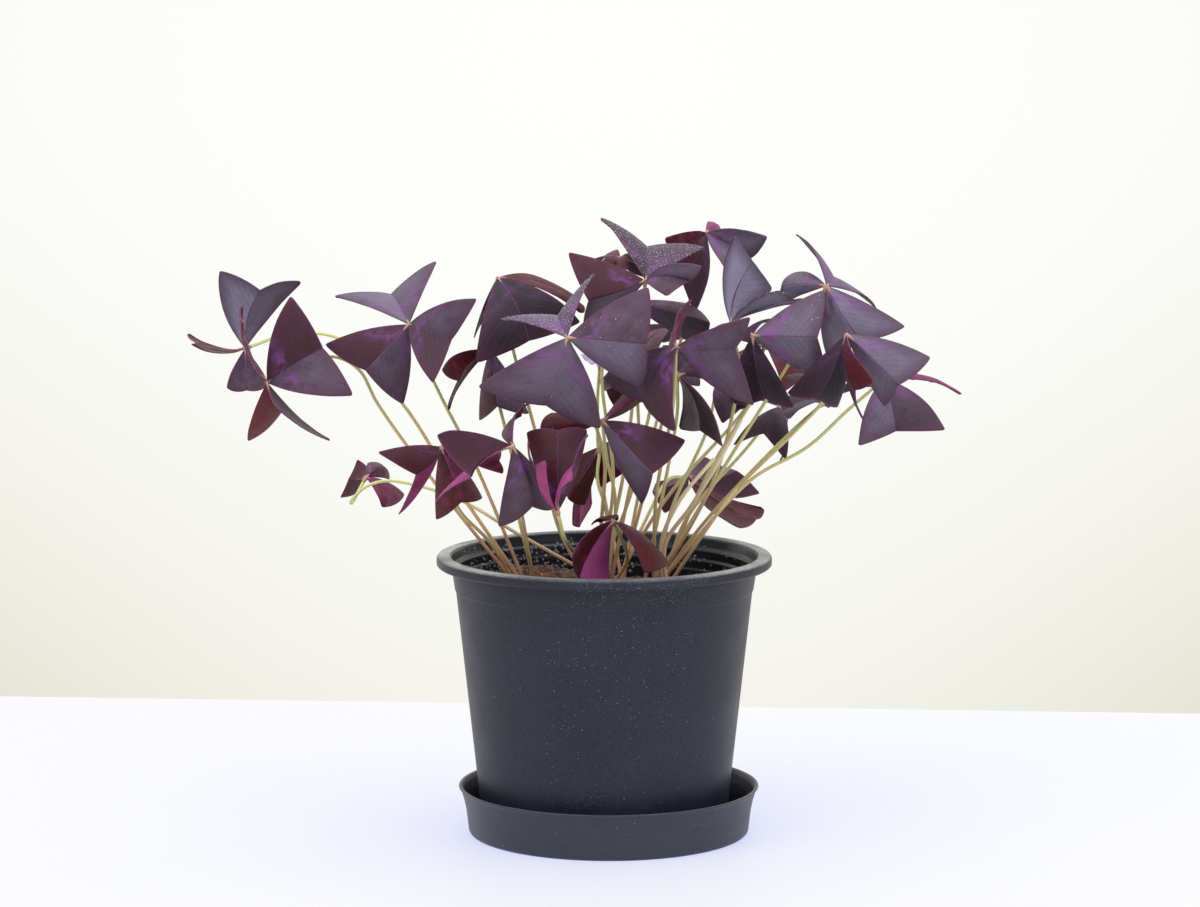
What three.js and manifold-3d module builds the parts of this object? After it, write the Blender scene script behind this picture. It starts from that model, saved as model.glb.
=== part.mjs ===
// Purple shamrock (Oxalis triangularis) in a nursery pot that stands on its saucer.
// Millimetres. +Z is up, +X is right and +Y is away from the front of the plant.
// The origin is the centre of the saucer's underside, where the assembly rests.
import * as THREE from 'three';
import { mergeVertices } from 'three/addons/utils/BufferGeometryUtils.js';
import Module from 'manifold-3d';

const wasm = await Module();
wasm.setup();

// ---- driving dimensions ---------------------------------------------------------------

const fit = 0.3; // clearance between two pieces that touch
const ring = 40; // facets round the pot and the saucer
const weld = 1e-4; // corners closer than this are one
const edgeBevel = 0.8; // softened edges of the lip and the rim
const footBevel = 1; // and of the two round undersides
const sightTilt = 0.1285; // the leaf table is drawn as seen from this much above, in radians

const saucerHeight = 21.5;
const saucerLipRadius = 67.5;
const saucerBaseRadius = 63;
const saucerWall = 1.5;
const saucerFloor = 2;
const saucerSwell = [[0.6, 6], [1.2, 11], [2.2, 15.5]]; // [how far past the base, at this height]

const potOffset = -2; // the pot stands a little left of the saucer's middle
const potTop = 126;
const potBottom = saucerFloor + fit;
const potBaseRadius = 54.7;
const potNeckRadius = 68.4; // outside of the wall, right under the rim
const potWall = 1.4;
const potFloor = 2;
const rimRadius = 75;
const rimSkirt = 4.7;
const rimThickness = 1.6;
const ledgeHeight = 110.6; // faint ring moulded round the outside
const ledgeDip = 0.3; // how far the wall draws in under it
const ledgeStep = 0.6; // and how high the ring is
const shelfHeight = 120; // stacking shelf inside the mouth
const shelfWidth = 0.7;
const drainHoleRadius = 4;
const drainHoleCircle = 38;
const drainHoles = 6;
const drainHoleSides = 8;

const soilEdge = 106;
const soilCrown = 109;
const soilHeap = [[50, 107.5], [30, 108.5]]; // [radius, height] of its slightly heaped top
const soilSettle = 0.5; // the top edge has drawn away from the wall
const holeSlack = 0.1; // lets a many-sided crown stand in its many-sided hole

const crownRadius = 7.5; // bulb top that a clump of petioles grows from
const crownBottom = 97;
const crownTop = 110;
const crownSides = 14;
const rooted = 4; // how deep a stem's foot stands in the crown
const stemTurn = 2.4; // stems stand on a spiral: angle from one to the next, in radians
const stemSpacing = 1.6; // and the spiral's width
const stemSides = 5;
const stemSteps = 4; // lengths that a stem is built of, besides one for each point of its route
const petioleRadius = 0.9;
const hubRadius = 1.7; // swollen joint where the three leaflets meet
const jointLength = 3; // and how far it reaches down to the petiole

const bladeThickness = 0.7;
const sideBulge = 0.06; // how far the two long edges swell out, against their length
const bladeArch = 0.08; // how far a leaflet arches up between its hub and its end edge
const distalBulge = 0.03; // and the end edges between the notch and the lobe tips
const lobeRounding = 0.92; // share of the end edge that the rounded lobe tip leaves
const rows = [0.5, 0.88, 1]; // share of the way from the hub to the end edge
const columns = [0, 0.55, 1]; // share of the way from the midrib to the long edge

const petals = 5;
const petalLength = 11;
const petalNotch = 0.96; // length of a petal's middle against its shoulders
const petalOpening = 0.95; // between a petal and the funnel's axis, in radians
const petalSpread = 0.5; // between a petal's middle and either shoulder, in radians

// Clumps of petioles, each with the crown that it grows from.
const clumps = {
  left: [-34, -8],
  middle: [-5, -8],
  right: [19, -4],
  back: [4, 22],
};

// Bare stalks that have lost their leaves, with their own small crown.
const dryCrown = [26, -24];
const dryCrownRadius = 4;
const dryStalks = [
  [[25, -19, 133], [36, -20, 150], [46, -25, 167], [58, -28, 190]],
  [[23, -24, 134], [31, -28, 154], [46, -31, 173]],
];

// ---- materials ------------------------------------------------------------------------

function finish(color, roughness) {
  return new THREE.MeshStandardMaterial({ color, roughness, metalness: 0 });
}

const bladeFinish = () => finish(0x4a2a45, 0.55);
const petioleFinish = () => finish(0xa09a5c, 0.6);
const stalkFinish = () => finish(0xd8c8a0, 0.7);
const petalFinish = () => finish(0xd9c8ee, 0.6);
const soilFinish = () => finish(0x3b241c, 0.95);
const plasticFinish = () => finish(0x2b2c32, 0.5);

// ---- solids ---------------------------------------------------------------------------

function toSolid(geometry) {
  const bare = geometry.index ? geometry.toNonIndexed() : geometry.clone();
  bare.deleteAttribute('normal');
  bare.deleteAttribute('uv');
  const joined = mergeVertices(bare, weld);
  return new wasm.Manifold(new wasm.Mesh({
    numProp: 3,
    vertProperties: new Float32Array(joined.attributes.position.array),
    triVerts: new Uint32Array(joined.index.array),
  }));
}

function toMesh(name, solid, material) {
  const mesh = solid.getMesh();
  const geometry = new THREE.BufferGeometry();
  geometry.setAttribute('position', new THREE.BufferAttribute(mesh.vertProperties, 3));
  geometry.setIndex(new THREE.BufferAttribute(mesh.triVerts, 1));
  geometry.computeVertexNormals();
  const piece = new THREE.Mesh(geometry, material);
  piece.name = name;
  return piece;
}

function fuse(solids) {
  return solids.reduce((whole, piece) => whole.add(piece));
}

// A closed profile of [radius, height] points turned about +Z.
function turned(profile) {
  const points = profile.map(([radius, height]) => new THREE.Vector2(radius, height));
  const geometry = new THREE.LatheGeometry(points, ring);
  geometry.rotateX(Math.PI / 2);
  return toSolid(geometry);
}

function cylinder(radius, low, high, x, y, sides) {
  const geometry = new THREE.CylinderGeometry(radius, radius, high - low, sides);
  geometry.rotateX(Math.PI / 2);
  geometry.translate(x, y, (low + high) / 2);
  return toSolid(geometry);
}

function tube(points, radius, steps) {
  const section = new THREE.Shape();
  for (let i = 0; i < stemSides; i += 1) {
    const angle = (2 * Math.PI * i) / stemSides;
    const corner = [radius * Math.cos(angle), radius * Math.sin(angle)];
    if (i === 0) section.moveTo(...corner);
    else section.lineTo(...corner);
  }
  section.closePath();
  const path = new THREE.CatmullRomCurve3(points, false, 'centripetal');
  return toSolid(new THREE.ExtrudeGeometry(section, { steps, extrudePath: path, curveSegments: 1 }));
}

// ---- leaves ---------------------------------------------------------------------------

const vector = ([x, y, z]) => new THREE.Vector3(x, y, z);

// The leaf table gives a point of a leaflet as [right, up, away] from its hub, drawn along
// a line of sight that looks down by sightTilt.
function seen([right, up, away]) {
  return new THREE.Vector3(right, away, up).applyAxisAngle(new THREE.Vector3(1, 0, 0), -sightTilt);
}

// Zero at both ends and one halfway.
const hump = (share) => 4 * share * (1 - share);

// One half of a leaflet, from its midrib (column 0) to its long edge (last column).
function halfPoints(notch, tip) {
  const length = tip.length();
  const edge = tip.clone().normalize();
  const sideways = notch.clone().addScaledVector(edge, -notch.dot(edge)).normalize().negate();
  const end = tip.clone().sub(notch).normalize();
  const outward = notch.clone().addScaledVector(end, -notch.dot(end)).normalize();
  return rows.map((s) => columns.map((t) => {
    const rounded = t === 1 && s === 1 ? lobeRounding : t;
    const point = notch.clone().lerp(tip, rounded).multiplyScalar(s);
    point.addScaledVector(sideways, length * sideBulge * hump(s) * t * t);
    if (s === 1) point.addScaledVector(outward, length * distalBulge * hump(rounded));
    return point;
  }));
}

// A leaflet is one thin closed sheet: lobe tip, notch and lobe tip, folded at the midrib.
function leaflet([tipA, notch, tipB], axis) {
  const middle = notch.clone().normalize();
  const outward = middle.clone().addScaledVector(axis, -middle.dot(axis)).add(axis);
  const halfA = halfPoints(notch, tipA);
  const halfB = halfPoints(notch, tipB);
  const grid = rows.map((_, r) => [...halfA[r].slice(1).reverse(), ...halfB[r]]);
  const width = grid[0].length;
  const points = [new THREE.Vector3(), ...grid.flat()];
  const at = (r, c) => 1 + r * width + c;
  const triangles = [];
  for (let c = 0; c + 1 < width; c += 1) {
    triangles.push([0, at(0, c), at(0, c + 1)]);
    for (let r = 0; r + 1 < rows.length; r += 1) {
      triangles.push([at(r, c), at(r + 1, c), at(r + 1, c + 1)]);
      triangles.push([at(r, c), at(r + 1, c + 1), at(r, c + 1)]);
    }
  }
  const face = ([a, b, c]) => {
    const ab = points[b].clone().sub(points[a]);
    return ab.cross(points[c].clone().sub(points[a]));
  };
  const total = triangles.reduce((sum, t) => sum.add(face(t)), new THREE.Vector3());
  if (total.dot(outward) < 0) {
    triangles.forEach((t) => t.reverse());
    total.negate();
  }
  total.normalize();
  rows.forEach((s, r) => {
    const rise = bladeArch * tipA.length() * hump(s);
    for (let c = 0; c < width; c += 1) points[at(r, c)].addScaledVector(total, rise);
  });
  const offsets = points.map(() => new THREE.Vector3());
  triangles.forEach((t) => t.forEach((i) => offsets[i].add(face(t).normalize())));
  offsets.forEach((n) => n.normalize().multiplyScalar(bladeThickness / 2));
  return sheet(points, offsets, triangles);
}

// Both faces of a sheet from its middle surface, closed along its free edge.
function sheet(points, offsets, triangles) {
  const count = points.length;
  const upper = points.map((p, i) => p.clone().add(offsets[i]));
  const lower = points.map((p, i) => p.clone().sub(offsets[i]));
  const faces = [...triangles, ...triangles.map(([a, b, c]) => [c + count, b + count, a + count])];
  const edges = new Set(triangles.flatMap(([a, b, c]) => [`${a} ${b}`, `${b} ${c}`, `${c} ${a}`]));
  for (const key of edges) {
    const [a, b] = key.split(' ').map(Number);
    if (edges.has(`${b} ${a}`)) continue;
    faces.push([b, a, a + count], [b, a + count, b + count]);
  }
  const geometry = new THREE.BufferGeometry().setFromPoints([...upper, ...lower]);
  geometry.setIndex(faces.flat());
  return toSolid(geometry);
}

// The swollen joint where a petiole meets its three leaflets or petals.
function joint(axis) {
  const geometry = new THREE.OctahedronGeometry(hubRadius);
  geometry.scale(1, 1, jointLength / hubRadius);
  geometry.applyQuaternion(new THREE.Quaternion().setFromUnitVectors(new THREE.Vector3(0, 0, 1), axis));
  return toSolid(geometry);
}

function arrival({ hub, via }) {
  return vector(hub).sub(vector(via[via.length - 1])).normalize();
}

function leafBlade(leaf) {
  const axis = arrival(leaf);
  const blades = leaf.leaflets.map((corners) => leaflet(corners.map(seen), axis));
  return toMesh(leaf.name, fuse([joint(axis), ...blades]).translate(leaf.hub), bladeFinish());
}

// Each leaf: its hub, its petiole's clump and route, and its leaflets. A leaflet is lobe
// tip, notch, lobe tip.
const leaves = [
  {
    name: 'leaf_far_left_upper', hub: [-163, 15, 217], clump: 'left',
    via: [[-70, -4, 160], [-92, 0, 194], [-120, 8, 222], [-145, 14, 223]],
    leaflets: [
      [[-10, 34, -20], [7, 26, -4], [24, 31, 17]],
      [[-28, 7, 20], [-21, 3, 0], [-22, 1, -20]],
      [[-6, -18, -28], [2, -19, -16], [13, -17, -26]],
    ],
  },
  {
    name: 'leaf_far_left_lower', hub: [-150, -25, 206], clump: 'left',
    via: [[-77, -14, 160], [-102, -18, 196], [-110, -19, 211], [-121, -21, 217], [-136, -23, 213]],
    leaflets: [
      [[11, 38, -12], [25, 15, -6], [39, -6, -19]],
      [[-12, 34, 4], [-10, 27, -8], [-9, 26, -30]],
      [[-6, -26, -29], [8, -13, -20], [29, -26, -12]],
    ],
  },
  {
    name: 'leaf_left_top', hub: [-87, -38, 233], clump: 'left',
    via: [[-60, -12, 170], [-72, -18, 195], [-80, -29, 214]],
    leaflets: [
      [[-34, 13, 18], [-9, 14, 23], [11, 29, 26]],
      [[30, 11, -14], [19, -7, -10], [11, -26, -19]],
      [[-38, -8, 16], [-19, -20, 3], [-3, -35, 18]],
    ],
  },
  {
    name: 'leaf_left_middle', hub: [-49, -12, 251], clump: 'middle',
    via: [[-22, -6, 138], [-30, -5, 172], [-44, -7, 225]],
    leaflets: [
      [[-9, -38, -25], [14, -28, -10], [37, -19, 5]],
      [[38, -15, 12], [35, -10, 22], [29, -4, 34]],
      [[-12, -26, 30], [-4, -14, 26], [8, -30, 26]],
    ],
  },
  {
    name: 'leaf_front_large', hub: [-18, -66, 230], clump: 'middle',
    via: [[-3, -12, 146], [-2, -20, 172], [-9, -30, 197], [-14, -55, 220]],
    leaflets: [
      [[-30, 9, 24], [-4, 10, 26], [12, 29, 24]],
      [[35, 23, 17], [34, -3, 1], [32, -22, 17]],
      [[-39, -21, 9], [-9, -29, 7], [15, -39, 21]],
    ],
  },
  {
    name: 'leaf_left_red', hub: [-52, -20, 220], clump: 'left',
    via: [[-38, -10, 142], [-43, -12, 172], [-50, -14, 202]],
    leaflets: [
      [[-5, 4, 28], [0, 4, 22], [9, 2, 28]],
      [[-21, -9, -26], [-13, -14, -18], [-19, -27, -4]],
      [[-6, -31, 19], [3, -25, -2], [17, -28, 17]],
    ],
  },
  {
    name: 'leaf_left_low', hub: [-73, -52, 181], clump: 'left',
    via: [[-52, -22, 134], [-66, -36, 152]],
    leaflets: [
      [[-26, -2, -26], [-10, -12, -17], [-18, -30, -6]],
      [[-3, -32, 18], [9, -24, 0], [18, -22, 23]],
      [[24, 1, 24], [25, -6, 14], [26, -12, 26]],
    ],
  },
  {
    name: 'leaf_left_front', hub: [-41, -80, 185], clump: 'left',
    via: [[-36, -30, 132], [-40, -56, 156]],
    leaflets: [
      [[-32, 5, -26], [-17, -13, -18], [-34, -24, 0]],
      [[-7, -35, 18], [8, -26, 12], [17, -27, 34]],
      [[-2, 10, 40], [3, 13, 26], [6, 19, 24]],
    ],
  },
  {
    name: 'leaf_back_left', hub: [-113, 80, 150], clump: 'back',
    via: [[-40, 30, 130], [-66, 46, 143], [-90, 62, 149], [-104, 66, 150], [-113, 65, 147], [-119, 66, 141], [-119, 73, 139]],
    leaflets: [
      [[-13, -10, 20], [-9, -1, 14], [-5, 8, 22]],
      [[0, 7, 26], [7, 5, 18], [10, -1, 24]],
      [[8, -14, -4], [13, -13, 4], [17, -8, 18]],
    ],
  },
  {
    name: 'leaf_low_front', hub: [2, -40, 147], clump: 'middle',
    via: [[8, -26, 128]],
    leaflets: [
      [[-18, -14, -20], [-15, -25, -8], [-2, -29, 12]],
      [[14, -22, -16], [23, -20, -2], [22, -16, 16]],
      [[-10, -2, 24], [-6, -1, 17], [2, 0, 24]],
    ],
  },
  {
    name: 'leaf_low_left', hub: [-22, -76, 156], clump: 'middle',
    via: [[-14, -28, 129], [-19, -50, 140]],
    leaflets: [
      [[-14, 34, 14], [0, 35, 4], [13, 35, 14]],
      [[-13, 31, -8], [-9, 19, -12], [-5, 22, -22]],
      [[13, 34, -10], [7, 20, -14], [6, 15, -26]],
    ],
  },
  {
    name: 'leaf_low_middle', hub: [-4, -5, 175], clump: 'middle',
    via: [[-1, -12, 145], [-5, -11, 161]],
    leaflets: [
      [[-20, -10, 10], [-14, -23, -4], [-7, -26, 6]],
      [[15, -2, 30], [10, -12, 20], [0, -18, 28]],
      [[-12, -33, 4], [-9, -36, 12], [-4, -27, 24]],
    ],
  },
  {
    name: 'leaf_front_lower', hub: [-3, -48, 192], clump: 'middle',
    via: [[3, -16, 150], [-1, -35, 174]],
    leaflets: [
      [[37, -8, 18], [22, -23, -4], [17, -37, 18]],
      [[10, 13, 20], [16, 12, 13], [18, 9, 26]],
      [[-22, 4, 26], [-27, -3, 18], [-25, -9, 30]],
    ],
  },
  {
    name: 'leaf_front_right', hub: [29, -55, 225], clump: 'right',
    via: [[21, -18, 155], [28, -40, 198]],
    leaflets: [
      [[31, 12, -27], [25, -1, -16], [33, -26, -4]],
      [[-32, -13, 26], [-14, -24, 12], [-1, -37, -15]],
      [[7, 22, 32], [5, 14, 24], [2, 5, 38]],
    ],
  },
  {
    name: 'leaf_right_upright', hub: [53, -32, 233], clump: 'right',
    via: [[46, -12, 160], [55, -20, 194], [57, -27, 214]],
    leaflets: [
      [[1, 38, -9], [10, 27, 6], [19, 16, 28]],
      [[20, 14, -10], [28, 10, 4], [34, 10, 16]],
      [[0, -12, 34], [-4, -10, 22], [-12, -12, 26]],
    ],
  },
  {
    name: 'leaf_right_dark', hub: [49, 16, 201], clump: 'right',
    via: [[28, 4, 145], [44, 13, 180]],
    leaflets: [
      [[1, -18, -32], [9, -12, -24], [15, -9, -30]],
      [[10, 4, 20], [6, 5, 15], [-2, 8, 22]],
      [[-18, 6, 22], [-12, 6, 15], [-8, 12, 24]],
    ],
  },
  {
    name: 'leaf_right_front', hub: [62, -48, 229], clump: 'right',
    via: [[42, -12, 160], [65, -30, 203], [69, -38, 214]],
    leaflets: [
      [[32, 21, 14], [28, -1, -2], [32, -20, 14]],
      [[19, -31, 14], [6, -27, 6], [-8, -29, 24]],
      [[-6, -2, 34], [2, 4, 24], [11, 8, 30]],
    ],
  },
  {
    name: 'leaf_right_top', hub: [95, -30, 249], clump: 'right',
    via: [[50, -12, 165], [85, -24, 225]],
    leaflets: [
      [[-12, 25, 29], [3, 4, 27], [25, -9, 29]],
      [[36, -17, 16], [15, -24, 2], [1, -30, 29]],
      [[-12, 8, 36], [-19, 0, 20], [-17, -6, 32]],
    ],
  },
  {
    name: 'leaf_far_right', hub: [102, -62, 231], clump: 'right',
    via: [[50, -20, 150], [60, -14, 161], [82, -21, 184], [95, -26, 199], [101, -42, 215]],
    leaflets: [
      [[38, -9, 20], [22, -22, 0], [17, -31, 20]],
      [[-25, -25, 20], [-12, -27, 8], [-2, -31, 26]],
      [[6, -38, -14], [3, -24, -15], [9, -21, -33]],
    ],
  },
  {
    name: 'leaf_far_right_low', hub: [121, -20, 207], clump: 'right',
    via: [[36, -10, 131], [63, -17, 162], [88, -19, 177], [105, -20, 193]],
    leaflets: [
      [[-13, -29, -26], [4, -23, -18], [26, -22, -19]],
      [[37, -6, 22], [22, -1, 20], [16, 1, 38]],
      [[-22, 4, 34], [-12, 6, 26], [-4, 10, 38]],
    ],
  },
  {
    name: 'leaf_right_low', hub: [95, -15, 196], clump: 'right',
    via: [[40, -6, 138], [60, -9, 161], [82, -13, 184]],
    leaflets: [
      [[-17, -7, -26], [-18, -4, -4], [-18, 2, 20]],
      [[4, -2, 34], [12, 8, 20], [26, 8, 22]],
      [[-16, 12, 26], [-6, 12, 22], [2, 18, 28]],
    ],
  },
  {
    name: 'leaf_right_black', hub: [77, 20, 190], clump: 'right',
    via: [[34, 4, 140], [62, 14, 172]],
    leaflets: [
      [[-22, -17, -22], [-8, -12, -20], [2, -24, -26]],
      [[2, -25, 24], [2, -12, 26], [3, -2, 38]],
      [[-12, 4, 32], [-8, 6, 24], [-2, 8, 36]],
    ],
  },
  {
    name: 'leaf_back_right', hub: [37, 85, 150], clump: 'back',
    via: [[16, 50, 132], [28, 72, 150]],
    leaflets: [
      [[36, -16, 4], [32, -20, -8], [23, -24, -24]],
      [[35, -9, 30], [24, 2, 22], [9, 8, 38]],
      [[-14, -4, 34], [-16, -8, 22], [-10, -18, 30]],
    ],
  },
  {
    name: 'leaf_top_back', hub: [5, 10, 258], clump: 'middle',
    via: [[2, -10, 160], [-3, -11, 205], [-1, -7, 232]],
    leaflets: [
      [[-17, -3, 22], [-9, -1, 23], [-4, 3, 34]],
      [[-10, -7, -24], [-3, -8, -18], [3, -6, -26]],
      [[14, -8, 30], [12, -3, 22], [16, 1, 28]],
    ],
  },
  {
    name: 'leaf_top_middle', hub: [16, -25, 251], clump: 'middle',
    via: [[6, -8, 160], [13, -20, 222]],
    leaflets: [
      [[-20, 29, 18], [1, 16, 23], [27, 16, 24]],
      [[24, 5, -27], [19, -1, -20], [9, -8, -30]],
      [[-34, 13, 6], [-25, -9, -4], [-27, -20, 17]],
    ],
  },
  {
    name: 'leaf_top_right', hub: [44, 40, 267], clump: 'back',
    via: [[22, 44, 170], [38, 49, 240]],
    leaflets: [
      [[-19, -4, -30], [-12, -20, -14], [-5, -37, -8]],
      [[27, -3, -22], [20, -12, -8], [12, -22, -26]],
      [[3, 6, 34], [5, 4, 26], [8, 3, 35]],
    ],
  },
  {
    name: 'leaf_inner_left', hub: [19, -18, 210], clump: 'middle',
    via: [[10, -10, 160], [18, -15, 192]],
    leaflets: [
      [[-23, -3, 30], [-20, -8, 14], [-14, -18, 30]],
      [[6, 12, 34], [2, 8, 24], [-6, 8, 34]],
      [[20, 6, 28], [18, 2, 20], [22, -6, 26]],
    ],
  },
  {
    name: 'leaf_inner_front', hub: [30, -32, 210], clump: 'right',
    via: [[24, -12, 155], [30, -24, 192]],
    leaflets: [
      [[20, -31, -14], [10, -24, 2], [2, -23, 30]],
      [[26, 0, 30], [20, 4, 20], [20, 12, 30]],
      [[-6, 14, 34], [2, 10, 26], [8, 16, 34]],
    ],
  },
  {
    name: 'leaf_inner_top', hub: [10, 0, 239], clump: 'middle',
    via: [[12, 8, 160], [13, 8, 192], [9, 4, 222]],
    leaflets: [
      [[25, 1, 26], [35, -9, 6], [30, -19, 26]],
      [[-10, 4, 32], [-14, -3, 20], [-18, -6, 28]],
      [[2, 8, 32], [0, 3, 24], [-8, 6, 32]],
    ],
  },
  {
    name: 'leaf_back_middle', hub: [30, 62, 222], clump: 'back',
    via: [[14, 34, 150], [26, 56, 196]],
    leaflets: [
      [[-22, -4, 28], [-4, -6, 28], [14, -4, 34]],
      [[22, -8, 20], [20, -12, -4], [16, -16, -28]],
      [[-10, -16, -30], [-16, -14, -14], [-28, -14, 8]],
    ],
  },
  {
    name: 'leaf_back_outer', hub: [72, 64, 214], clump: 'back',
    via: [[26, 34, 146], [66, 58, 190]],
    leaflets: [
      [[-14, 4, 34], [2, -2, 28], [18, -2, 34]],
      [[26, -6, 18], [18, -14, -6], [8, -22, -22]],
      [[-10, -14, -32], [-18, -12, -16], [-26, -16, 0]],
    ],
  },
];

// One small funnel-shaped bloom on its own stalk.
const bloom = { hub: [-4, 25, 209], clump: 'back', via: [[-4, 38, 160], [-5, 38, 190]] };

function flower() {
  const axis = arrival(bloom);
  const turn = new THREE.Quaternion().setFromUnitVectors(new THREE.Vector3(0, 0, 1), axis);
  const shoulder = (angle, length) => new THREE.Vector3(
    length * Math.sin(petalOpening) * Math.cos(angle),
    length * Math.sin(petalOpening) * Math.sin(angle),
    length * Math.cos(petalOpening),
  ).applyQuaternion(turn);
  const funnel = Array.from({ length: petals }, (_, i) => {
    const angle = (2 * Math.PI * i) / petals;
    return leaflet([
      shoulder(angle - petalSpread, petalLength),
      shoulder(angle, petalLength * petalNotch),
      shoulder(angle + petalSpread, petalLength),
    ], axis);
  });
  return toMesh('flower', fuse([joint(axis), ...funnel]).translate(bloom.hub), petalFinish());
}

function crownOf(radius, x, y) {
  return cylinder(radius, crownBottom + fit, crownTop, x, y, crownSides);
}

// A stem from its foot in the crown, along its route.
function stem([x, y], i, route) {
  const turn = i * stemTurn;
  const spread = stemSpacing * Math.sqrt(i + 0.5);
  const foot = [x + spread * Math.cos(turn), y + spread * Math.sin(turn), crownTop - rooted];
  return tube([vector(foot), ...route], petioleRadius, stemSteps + route.length - 1);
}

function petioles(name, clump) {
  const stems = [...leaves, bloom].filter((leaf) => leaf.clump === clump).map((leaf, i) => {
    const end = vector(leaf.hub).addScaledVector(arrival(leaf), -(jointLength + fit));
    return stem(clumps[clump], i, [...leaf.via.map(vector), end]);
  });
  return toMesh(name, fuse([crownOf(crownRadius, ...clumps[clump]), ...stems]), petioleFinish());
}

function dry() {
  const stalks = dryStalks.map((route, i) => stem(dryCrown, i, route.map(vector)));
  return toMesh('dry_stalks', fuse([crownOf(dryCrownRadius, ...dryCrown), ...stalks]), stalkFinish());
}

// ---- saucer, pot and soil -------------------------------------------------------------

function saucer() {
  const wall = (inset) => saucerSwell.map(([out, height]) => [saucerBaseRadius + out - inset, height]);
  return toMesh('saucer', turned([
    [0, 0],
    [saucerBaseRadius - footBevel, 0],
    [saucerBaseRadius, footBevel],
    ...wall(0),
    [saucerLipRadius - edgeBevel, saucerHeight - 2 * edgeBevel],
    [saucerLipRadius, saucerHeight - edgeBevel],
    [saucerLipRadius - edgeBevel / 4, saucerHeight],
    [saucerLipRadius - saucerWall, saucerHeight],
    ...wall(saucerWall).reverse(),
    [saucerBaseRadius - footBevel - saucerWall, saucerFloor],
    [0, saucerFloor],
  ]), plasticFinish());
}

// Outside of the pot's wall at a height.
function wallRadius(height) {
  const share = (height - potBottom) / (potTop - rimSkirt - potBottom);
  return potBaseRadius + (potNeckRadius - potBaseRadius) * share;
}

function pot() {
  const floorTop = potBottom + potFloor;
  const underRim = potTop - rimThickness;
  const solid = turned([
    [0, potBottom],
    [potBaseRadius - footBevel, potBottom],
    [potBaseRadius, potBottom + footBevel],
    [wallRadius(ledgeHeight) - ledgeDip, ledgeHeight],
    [wallRadius(ledgeHeight + ledgeStep), ledgeHeight + ledgeStep],
    [potNeckRadius, potTop - rimSkirt],
    [potNeckRadius, underRim],
    [rimRadius - potWall, underRim],
    [rimRadius - potWall, potTop - rimSkirt],
    [rimRadius - edgeBevel, potTop - rimSkirt],
    [rimRadius, potTop - rimSkirt + edgeBevel],
    [rimRadius, potTop - edgeBevel],
    [rimRadius - edgeBevel, potTop],
    [potNeckRadius - edgeBevel / 2, potTop],
    [potNeckRadius - edgeBevel, potTop - edgeBevel],
    [wallRadius(shelfHeight) - potWall, shelfHeight + edgeBevel],
    [wallRadius(shelfHeight) - potWall - shelfWidth, shelfHeight],
    [wallRadius(floorTop) - potWall, floorTop],
    [0, floorTop],
  ]);
  const holes = Array.from({ length: drainHoles }, (_, i) => {
    const angle = (2 * Math.PI * i) / drainHoles;
    const x = drainHoleCircle * Math.cos(angle);
    const y = drainHoleCircle * Math.sin(angle);
    return cylinder(drainHoleRadius, 0, floorTop + potFloor, x, y, drainHoleSides);
  });
  const drained = holes.reduce((whole, hole) => whole.subtract(hole), solid);
  return toMesh('pot', drained.translate([potOffset, 0, 0]), plasticFinish());
}

function soil() {
  const bottom = potBottom + potFloor + fit;
  const clear = potWall + 2 * fit;
  const heap = turned([
    [0, bottom],
    [wallRadius(bottom) - clear, bottom],
    [wallRadius(soilEdge) - clear - soilSettle, soilEdge],
    ...soilHeap,
    [0, soilCrown],
  ]).translate([potOffset, 0, 0]);
  const hole = (radius, [x, y]) => (
    cylinder(radius + fit + holeSlack, crownBottom, potTop, x, y, crownSides)
  );
  const holes = Object.values(clumps).map((centre) => hole(crownRadius, centre));
  holes.push(hole(dryCrownRadius, dryCrown));
  return toMesh('soil', holes.reduce((whole, cut) => whole.subtract(cut), heap), soilFinish());
}

// ---- assembly -------------------------------------------------------------------------

const plant = new THREE.Group();
plant.add(saucer(), pot(), soil());
for (const clump of Object.keys(clumps)) plant.add(petioles(`petioles_${clump}`, clump));
plant.add(dry(), flower());
for (const leaf of leaves) plant.add(leafBlade(leaf));

export default plant;
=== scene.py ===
# Purple shamrock in a nursery pot that stands on its saucer.
# Blender metres, +Z up, +X right and +Y away from the front; piece sizes are given in millimetres.
import math
import random

import bpy
from mathutils import Matrix, Vector, noise


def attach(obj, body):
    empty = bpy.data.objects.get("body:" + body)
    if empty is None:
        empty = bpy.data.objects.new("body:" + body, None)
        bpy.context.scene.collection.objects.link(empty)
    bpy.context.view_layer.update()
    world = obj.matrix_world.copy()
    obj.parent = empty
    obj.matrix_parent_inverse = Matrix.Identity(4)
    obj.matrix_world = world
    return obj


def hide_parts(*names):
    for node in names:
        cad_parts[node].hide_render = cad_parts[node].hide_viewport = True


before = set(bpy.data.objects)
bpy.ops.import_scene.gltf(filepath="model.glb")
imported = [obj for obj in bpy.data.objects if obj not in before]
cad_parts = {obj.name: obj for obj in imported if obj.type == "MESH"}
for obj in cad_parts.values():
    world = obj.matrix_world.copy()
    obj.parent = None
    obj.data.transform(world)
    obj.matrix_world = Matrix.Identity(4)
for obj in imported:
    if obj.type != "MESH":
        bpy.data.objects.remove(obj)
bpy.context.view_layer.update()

# ---- Saucer ---------------------------------------------------------------------------
# A shallow black polypropylene dish with a thin lip that flares out. It is moulded in one
# shot, and sliding about on benches has left fine scuffs on its side.

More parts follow.
